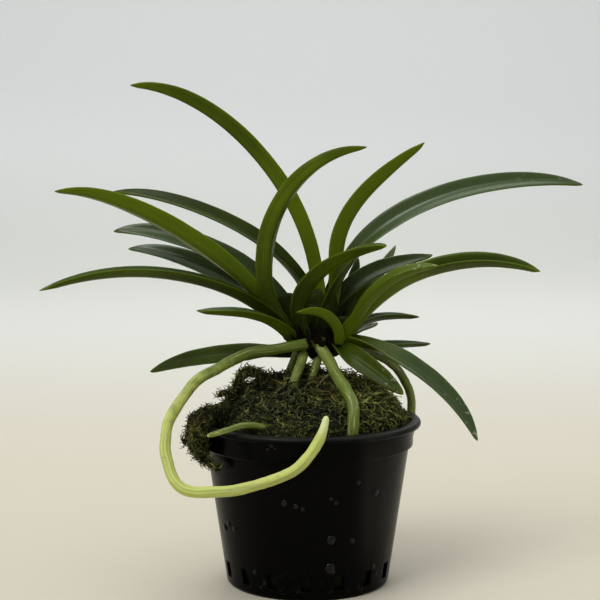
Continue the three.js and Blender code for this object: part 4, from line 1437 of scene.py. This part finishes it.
class ORCHID_OT_stems(Operator):
    """Shapes the three short stems wrapped in overlapping leaf bases"""

    bl_idname = "orchid.stems"
    bl_label = "Stems"

    def execute(self, context):
        settings = context.scene.orchid_leaf
        positions = []
        faces = []
        for growth in GROWTHS:
            first = len(positions)
            last = first + GROWTH_STEPS * GROWTH_SIDES
            positions += growth_rings(growth)
            faces += tube_faces(first, GROWTH_STEPS, GROWTH_SIDES)
            faces.append(tuple(first + side for side in reversed(range(GROWTH_SIDES))))
            faces.append(tuple(last + side for side in range(GROWTH_SIDES)))
        piece = mesh_object("stems", positions, faces, stem_finish(settings))
        declare(piece, "stem", "stem_clump")
        return {"FINISHED"}


# Roots


class ORCHID_OT_roots(Operator):
    """Grows the thick roots along their paths"""

    bl_idname = "orchid.roots"
    bl_label = "Roots"

    def execute(self, context):
        settings = context.scene.orchid_root
        skins = {
            name: root_finish(name + "_skin", settings, **values) for name, values in ROOT_SKINS.items()}
        tree = strand_tree()
        for index, root in enumerate(ROOTS):
            piece = grown(root["node"] + "_skin", tree, {
                "Start Radius": root["radius"][0] * MM,
                "End Radius": root["radius"][1] * MM,
                "Step": settings.step,
                "Sides": ROOT_SIDES,
                "Swelling": ROOT_SWELLING,
                "Bumpiness": settings.bumpiness,
                "Bump Scale": ROOT_BUMP_SCALE,
                "Seed": ROOT_SEED + index,
                "Material": skins[root["finish"]],
            }, curve_data(root["node"] + "_path", root["path"]))
            declare(piece, slot_of(root["node"]), root["node"])
        return {"FINISHED"}


# Moss


def step_between(low, high, value):
    """Smooth step from 0 at low to 1 at high."""
    share = min(max((value - low) / (high - low), 0.0), 1.0)
    return share * share * (3 - 2 * share)


def moss_relief(angle, radius):
    """The same slow waves as on the solid mound."""
    waves = math.sin(3 * angle + 0.7) * math.cos(radius * 0.31)
    waves += 0.8 * math.sin(7 * angle - radius * 0.23)
    waves += 0.6 * math.cos(11 * angle + radius * 0.47 + 1.3)
    return MOUND_ROUGHNESS * waves


def moss_top(angle, radius):
    rim = POT_HEIGHT + MOUND_EDGE
    across = radius * math.cos(angle)
    from_apex = math.hypot(across - MOUND_APEX_X, radius * math.sin(angle))
    dome = math.cos(min(from_apex / MOUND_SPREAD, 1.0) * math.pi / 2) ** MOUND_FULLNESS
    dip = LEFT_DIP * step_between(*LEFT_DIP_BAND, -across)
    recess = RIGHT_RECESS * step_between(*RIGHT_RECESS_BAND, across)
    relief = moss_relief(angle, radius) * (1 - CALM_EDGE_SHARE * step_between(*CALM_EDGE_BAND, radius))
    return rim + (MOUND_HEIGHT - rim) * dome - dip - recess + relief


def relief_at(spot, relief):
    height, frequency = relief
    return height * noise.noise(spot * frequency)


def moss_ground():
    """The mound and the moss down in the pot, as one closed body."""
    gap = POT_WALL + MOSS_GAP
    step = POT_HEIGHT - COLLAR_HEIGHT
    walls = [
        (pot_wall_radius(FLOOR_TOP) - gap - MOSS_LOW_INSET, FLOOR_TOP + MOSS_GAP),
        *[(pot_wall_radius(row) - gap - MOSS_LOW_INSET, row) for row in MOSS_WALL_ROWS],
        (BODY_TOP_RADIUS - gap - MOSS_HIGH_INSET, step - MOSS_LEDGE_DROP),
        (COLLAR_RADIUS - gap - MOSS_HIGH_INSET, POT_HEIGHT - MOSS_BRIM_DROP)]
    inward = MOUND_OUTER_ROW - MOUND_INNER_ROW
    tops = [MOUND_OUTER_ROW - inward * index / (MOUND_ROWS - 1) for index in range(MOUND_ROWS)]
    positions = [scaled((0.0, 0.0, FLOOR_TOP + MOSS_GAP))]
    faces = []
    rows = len(walls) + len(tops)
    for row in range(rows):
        for side in range(MOUND_SIDES):
            angle = math.tau * side / MOUND_SIDES
            if row < len(walls):
                radius, height = walls[row]
            else:
                radius = tops[row - len(walls)]
                height = moss_top(angle, radius)
            spot = Vector(round_axis(radius, angle, height))
            if row >= len(walls):
                spot.z += relief_at(spot, COARSE_RELIEF) + relief_at(spot, FINE_RELIEF)
            elif 0 < row < len(walls) - 1:
                spot.x *= 1 - relief_at(spot, WALL_RELIEF)
            positions.append(tuple(spot * MM))
    crown = sum(point[2] for point in positions[-MOUND_SIDES:]) / MOUND_SIDES
    positions.append((0.0, 0.0, crown))
    for side in range(MOUND_SIDES):
        after = (side + 1) % MOUND_SIDES
        faces.append((0, 1 + after, 1 + side))
        for row in range(rows - 1):
            low = 1 + row * MOUND_SIDES
            high = low + MOUND_SIDES
            faces.append((low + side, low + after, high + after, high + side))
        last = 1 + (rows - 1) * MOUND_SIDES
        faces.append((last + side, last + after, len(positions) - 1))
    return positions, faces


def needle(positions, faces, painted_light_levels, base, tip, half, reach):
    """Adds a slim pyramid of four faces from base to tip, with its painted light darker at the foot."""
    along = (tip - base).normalized()
    side = along.orthogonal().normalized() * half
    other = along.cross(side).normalized() * half
    first = len(positions)
    behind = base - side * 0.5
    corners = [base + side, behind + other * 0.87, behind - other * 0.87, tip]
    positions += [tuple(corner) for corner in corners]
    painted_light_levels += [reach * LEAFLET_FOOT_LIGHT] * 3 + [reach]
    faces += [(first, first + 1, first + 3), (first + 1, first + 2, first + 3),
              (first + 2, first, first + 3), (first, first + 2, first + 1)]


def sprig_object(name, length, droop, leaflet_length, thickness, buried, seed):
    """A wavy strand with small pointed leaflets, standing on the origin and drooping towards -Y.

    A buried strand lies with both ends in the ground, so it is stoutest in the middle; there it is also
    brightest, a painted light on the top of its arch, with painted shade at its buried ends."""
    chance = random.Random(seed)
    positions = []
    painted_light_levels = []
    faces = []
    phase = chance.uniform(0, math.tau)

    def spine(t):
        wave = SPRIG_WAVE * length * (math.sin(t * SPRIG_WAVINESS + phase) - math.sin(phase))
        return Vector((wave, -droop * length * t * t, length * (t - DROOP_SHORTENS * droop * t * t)))

    # Painted light: a lying strand is lit at the top of its arch and shaded where its ends go into the
    # ground, and a standing sprig is lighter towards its end.
    def light(t):
        return math.sin(math.pi * t) if buried else t

    def stoutness(t):
        return BURIED_END + (1 - BURIED_END) * math.sin(math.pi * t) if buried else 1 - TIP_THINNING * t

    for segment in range(SPRIG_SEGMENTS + 1):
        t = segment / SPRIG_SEGMENTS
        half = thickness * stoutness(t) * chance.uniform(*THICKNESS_RANGE)
        for corner in range(SPRIG_SIDES):
            angle = math.tau * corner / SPRIG_SIDES + t * SPRIG_TWIST
            positions.append(tuple(spine(t) + Vector(round_axis(half, angle, 0))))
            painted_light_levels.append(light(t))
    last = SPRIG_SEGMENTS * SPRIG_SIDES
    faces.append(tuple(reversed(range(SPRIG_SIDES))))
    faces += tube_faces(0, SPRIG_SEGMENTS, SPRIG_SIDES)
    faces.append(tuple(last + corner for corner in range(SPRIG_SIDES)))
    for index in range(LEAFLETS):
        t = LEAFLET_FROM + LEAFLET_SPAN * index / (LEAFLETS - 1)
        angle = index * LEAFLET_TURN + chance.uniform(-LEAFLET_STRAY, LEAFLET_STRAY)
        outward = Vector(round_axis(1, angle, LEAFLET_RISE)).normalized()
        size = leaflet_length * (1 - LEAFLET_SHRINKING * t) * chance.uniform(*LEAFLET_RANGE)
        foot = spine(t)
        half = thickness * LEAFLET_THINNESS
        needle(positions, faces, painted_light_levels, foot, foot + outward * size, half, light(t))
    piece = mesh_object(name, positions, faces, smooth=False)
    # The painted light is kept in the attribute reach.
    layer = piece.data.attributes.new("reach", "FLOAT", "POINT")
    for index, value in enumerate(painted_light_levels):
        layer.data[index].value = value
    return piece


def sprig_patterns(settings):
    """The two sprigs that cover the moss: a lying strand and a standing tuft."""
    thickness = settings.strand_thickness
    return {
        "strand": sprig_object(
            "strand_pattern", settings.strand_length, STRAND_DROOP, STRAND_LEAFLET * MM, thickness, True,
            STRAND_SEED),
        "tuft": sprig_object(
            "tuft_pattern", settings.tuft_length, TUFT_DROOP, TUFT_LEAFLET * MM,
            thickness * TUFT_THINNESS, False, TUFT_SEED),
    }


class ORCHID_OT_moss(Operator):
    """Lays the mound of moss, its overhanging clump and loop, and covers them in fronds and strands"""

    bl_idname = "orchid.moss"
    bl_label = "Moss"

    def execute(self, context):
        settings = context.scene.orchid_moss
        ground_skin = moss_ground_finish(settings)
        frond_skin = moss_finish(settings)
        ground = mesh_object("moss_mound", *moss_ground(), ground_skin)
        strands = strand_tree()
        wisps = [
            grown(f"moss_wisp_{index + 1}", strands, {
                **WISP_STRAND,
                "Seed": WISP_SEED + index,
                "Material": ground_skin,
            }, curve_data(f"moss_wisp_{index + 1}_path", wisp["path"], wisp["radius"]))
            for index, wisp in enumerate(WISPS)]
        tree = scatter_tree()
        sprigs = sprig_patterns(settings)
        density = {"strand": settings.strands, "tuft": settings.tufts}

        def cover(name, carrier, layer, per_square, lowest, rim, seed):
            return grown(name, tree, {
                "Density": per_square * PER_SQUARE_MM, "Lowest": lowest * MM, "Rim Radius": rim * MM,
                "Smallest": layer["size"][0], "Largest": layer["size"][1],
                "Least Tilt": layer["tilt"][0], "Most Tilt": layer["tilt"][1],
                "Seed": settings.seed + seed, "Sprig": sprigs[layer["sprig"]],
                "Material": frond_skin,
            }, carrier.data)

        pieces = [*wisps]
        for layer in MOUND_COVER:
            pieces.append(cover(
                layer["name"], ground, layer, density[layer["sprig"]], MOUND_COVER_FROM,
                COLLAR_RADIUS - RIM_CLEARANCE, layer["seed"]))
        for index, wisp in enumerate(wisps):
            for layer in WISP_COVER:
                pieces.append(cover(
                    f"{layer['name']}_{index + 1}", wisp, layer, layer["density"], WISP_COVER_FROM,
                    BEYOND_RIM, layer["seed"] + index))
        for pattern in sprigs.values():
            bpy.data.objects.remove(pattern)
        declare(ground, "moss", "moss")
        for piece in pieces:
            declare(piece, "moss")
        return {"FINISHED"}


# Stage


class ORCHID_OT_stage(Operator):
    """Sets the pale floor, the soft lights and the camera"""

    bl_idname = "orchid.stage"
    bl_label = "Stage"

    def execute(self, context):
        settings = context.scene.orchid_stage
        self.backdrop(settings)
        self.lights(settings)
        self.camera()
        return {"FINISHED"}

    def backdrop(self, settings):
        """A floor that rises behind the plant in one smooth sweep."""
        section = [(SWEEP_FRONT, 0.0), (SWEEP_TURN, 0.0)]
        for index in range(1, SWEEP_STEPS + 1):
            angle = math.pi / 2 * index / SWEEP_STEPS
            section.append((SWEEP_TURN + SWEEP_BEND * math.sin(angle), SWEEP_BEND * (1 - math.cos(angle))))
        section.append((SWEEP_TURN + SWEEP_BEND, SWEEP_TOP))
        positions = [(x, y, z) for y, z in section for x in (-SWEEP_HALF_WIDTH, SWEEP_HALF_WIDTH)]
        faces = [(2 * i, 2 * i + 1, 2 * i + 3, 2 * i + 2) for i in range(len(section) - 1)]
        mesh_object("floor_sweep", positions, faces, floor_finish(settings))

    def lights(self, settings):
        """Soft lights, and a room that is brightest above and behind."""
        world = bpy.data.worlds.new("studio_air")
        world.use_nodes = True
        board = Board(world.node_tree)
        toward = board.node("ShaderNodeTexCoord", {}, {}, "Generated")
        lean = toward.part("Z") + toward.part("Y") * AIR_BEHIND + toward.part("X") * AIR_RIGHT
        bright = lean.smooth(*AIR_FADE)
        strength = bright * (settings.sky - settings.front) + settings.front
        board.feed(world.node_tree.nodes["Background"], {"Color": AIR_COLOUR, "Strength": strength})
        bpy.context.scene.world = world
        for plan in SOFT_LIGHTS:
            lamp = bpy.data.lights.new(plan["name"], "AREA")
            lamp.shape = "SQUARE"
            lamp.size = plan["size"]
            lamp.energy = settings.key * plan["power"]
            light = bpy.data.objects.new(plan["name"], lamp)
            light.location = plan["place"]
            heading = Vector(plan["aim"]) - Vector(plan["place"])
            light.rotation_euler = heading.to_track_quat("-Z", "Y").to_euler()
            bpy.context.scene.collection.objects.link(light)

    def camera(self):
        """The photograph's camera, and the contrast that its colours were matched with."""
        lens = bpy.data.cameras.new("photo_view")
        lens.lens = CAMERA_LENS
        lens.sensor_width = CAMERA_SENSOR
        lens.clip_start = CAMERA_NEAR * MM
        view = bpy.data.objects.new("photo_view", lens)
        view.location = CAMERA_PLACE
        view.rotation_euler = (math.radians(CAMERA_PITCH), 0.0, 0.0)
        scene = bpy.context.scene
        scene.collection.objects.link(view)
        scene.camera = view
        scene.view_settings.view_transform = "Standard"
        scene.view_settings.look = "Medium High Contrast"


# Panel and registration


class ORCHID_PT_panel(Panel):
    """Lists the makers of the plant's pieces"""

    bl_idname = "ORCHID_PT_panel"
    bl_label = "Potted Wind Orchid"
    bl_space_type = "VIEW_3D"
    bl_region_type = "UI"
    bl_category = "Orchid"

    def draw(self, context):
        for group in SETTINGS:
            settings = getattr(context.scene, group)
            box = self.layout.box()
            for name in settings.__annotations__:
                box.prop(settings, name)
        for maker in MAKERS:
            self.layout.operator(maker.bl_idname)


SETTINGS = {
    "orchid_pot": PotSettings,
    "orchid_leaf": LeafSettings,
    "orchid_root": RootSettings,
    "orchid_moss": MossSettings,
    "orchid_stage": StageSettings,
}

MAKERS = [
    ORCHID_OT_pot, ORCHID_OT_drops, ORCHID_OT_stems, ORCHID_OT_sheaths, ORCHID_OT_leaves,
    ORCHID_OT_roots, ORCHID_OT_moss, ORCHID_OT_stage,
]


def register():
    for kind in [*SETTINGS.values(), *MAKERS, ORCHID_PT_panel]:
        bpy.utils.register_class(kind)
    for name, kind in SETTINGS.items():
        setattr(bpy.types.Scene, name, PointerProperty(type=kind))


def unregister():
    for name in SETTINGS:
        delattr(bpy.types.Scene, name)
    for kind in reversed([*SETTINGS.values(), *MAKERS, ORCHID_PT_panel]):
        bpy.utils.unregister_class(kind)


def main():
    register()
    bpy.ops.orchid.pot()
    bpy.ops.orchid.drops()
    bpy.ops.orchid.stems()
    bpy.ops.orchid.sheaths()
    bpy.ops.orchid.leaves()
    bpy.ops.orchid.roots()
    bpy.ops.orchid.moss()
    bpy.ops.orchid.stage()


if __name__ == "__main__":
    main()
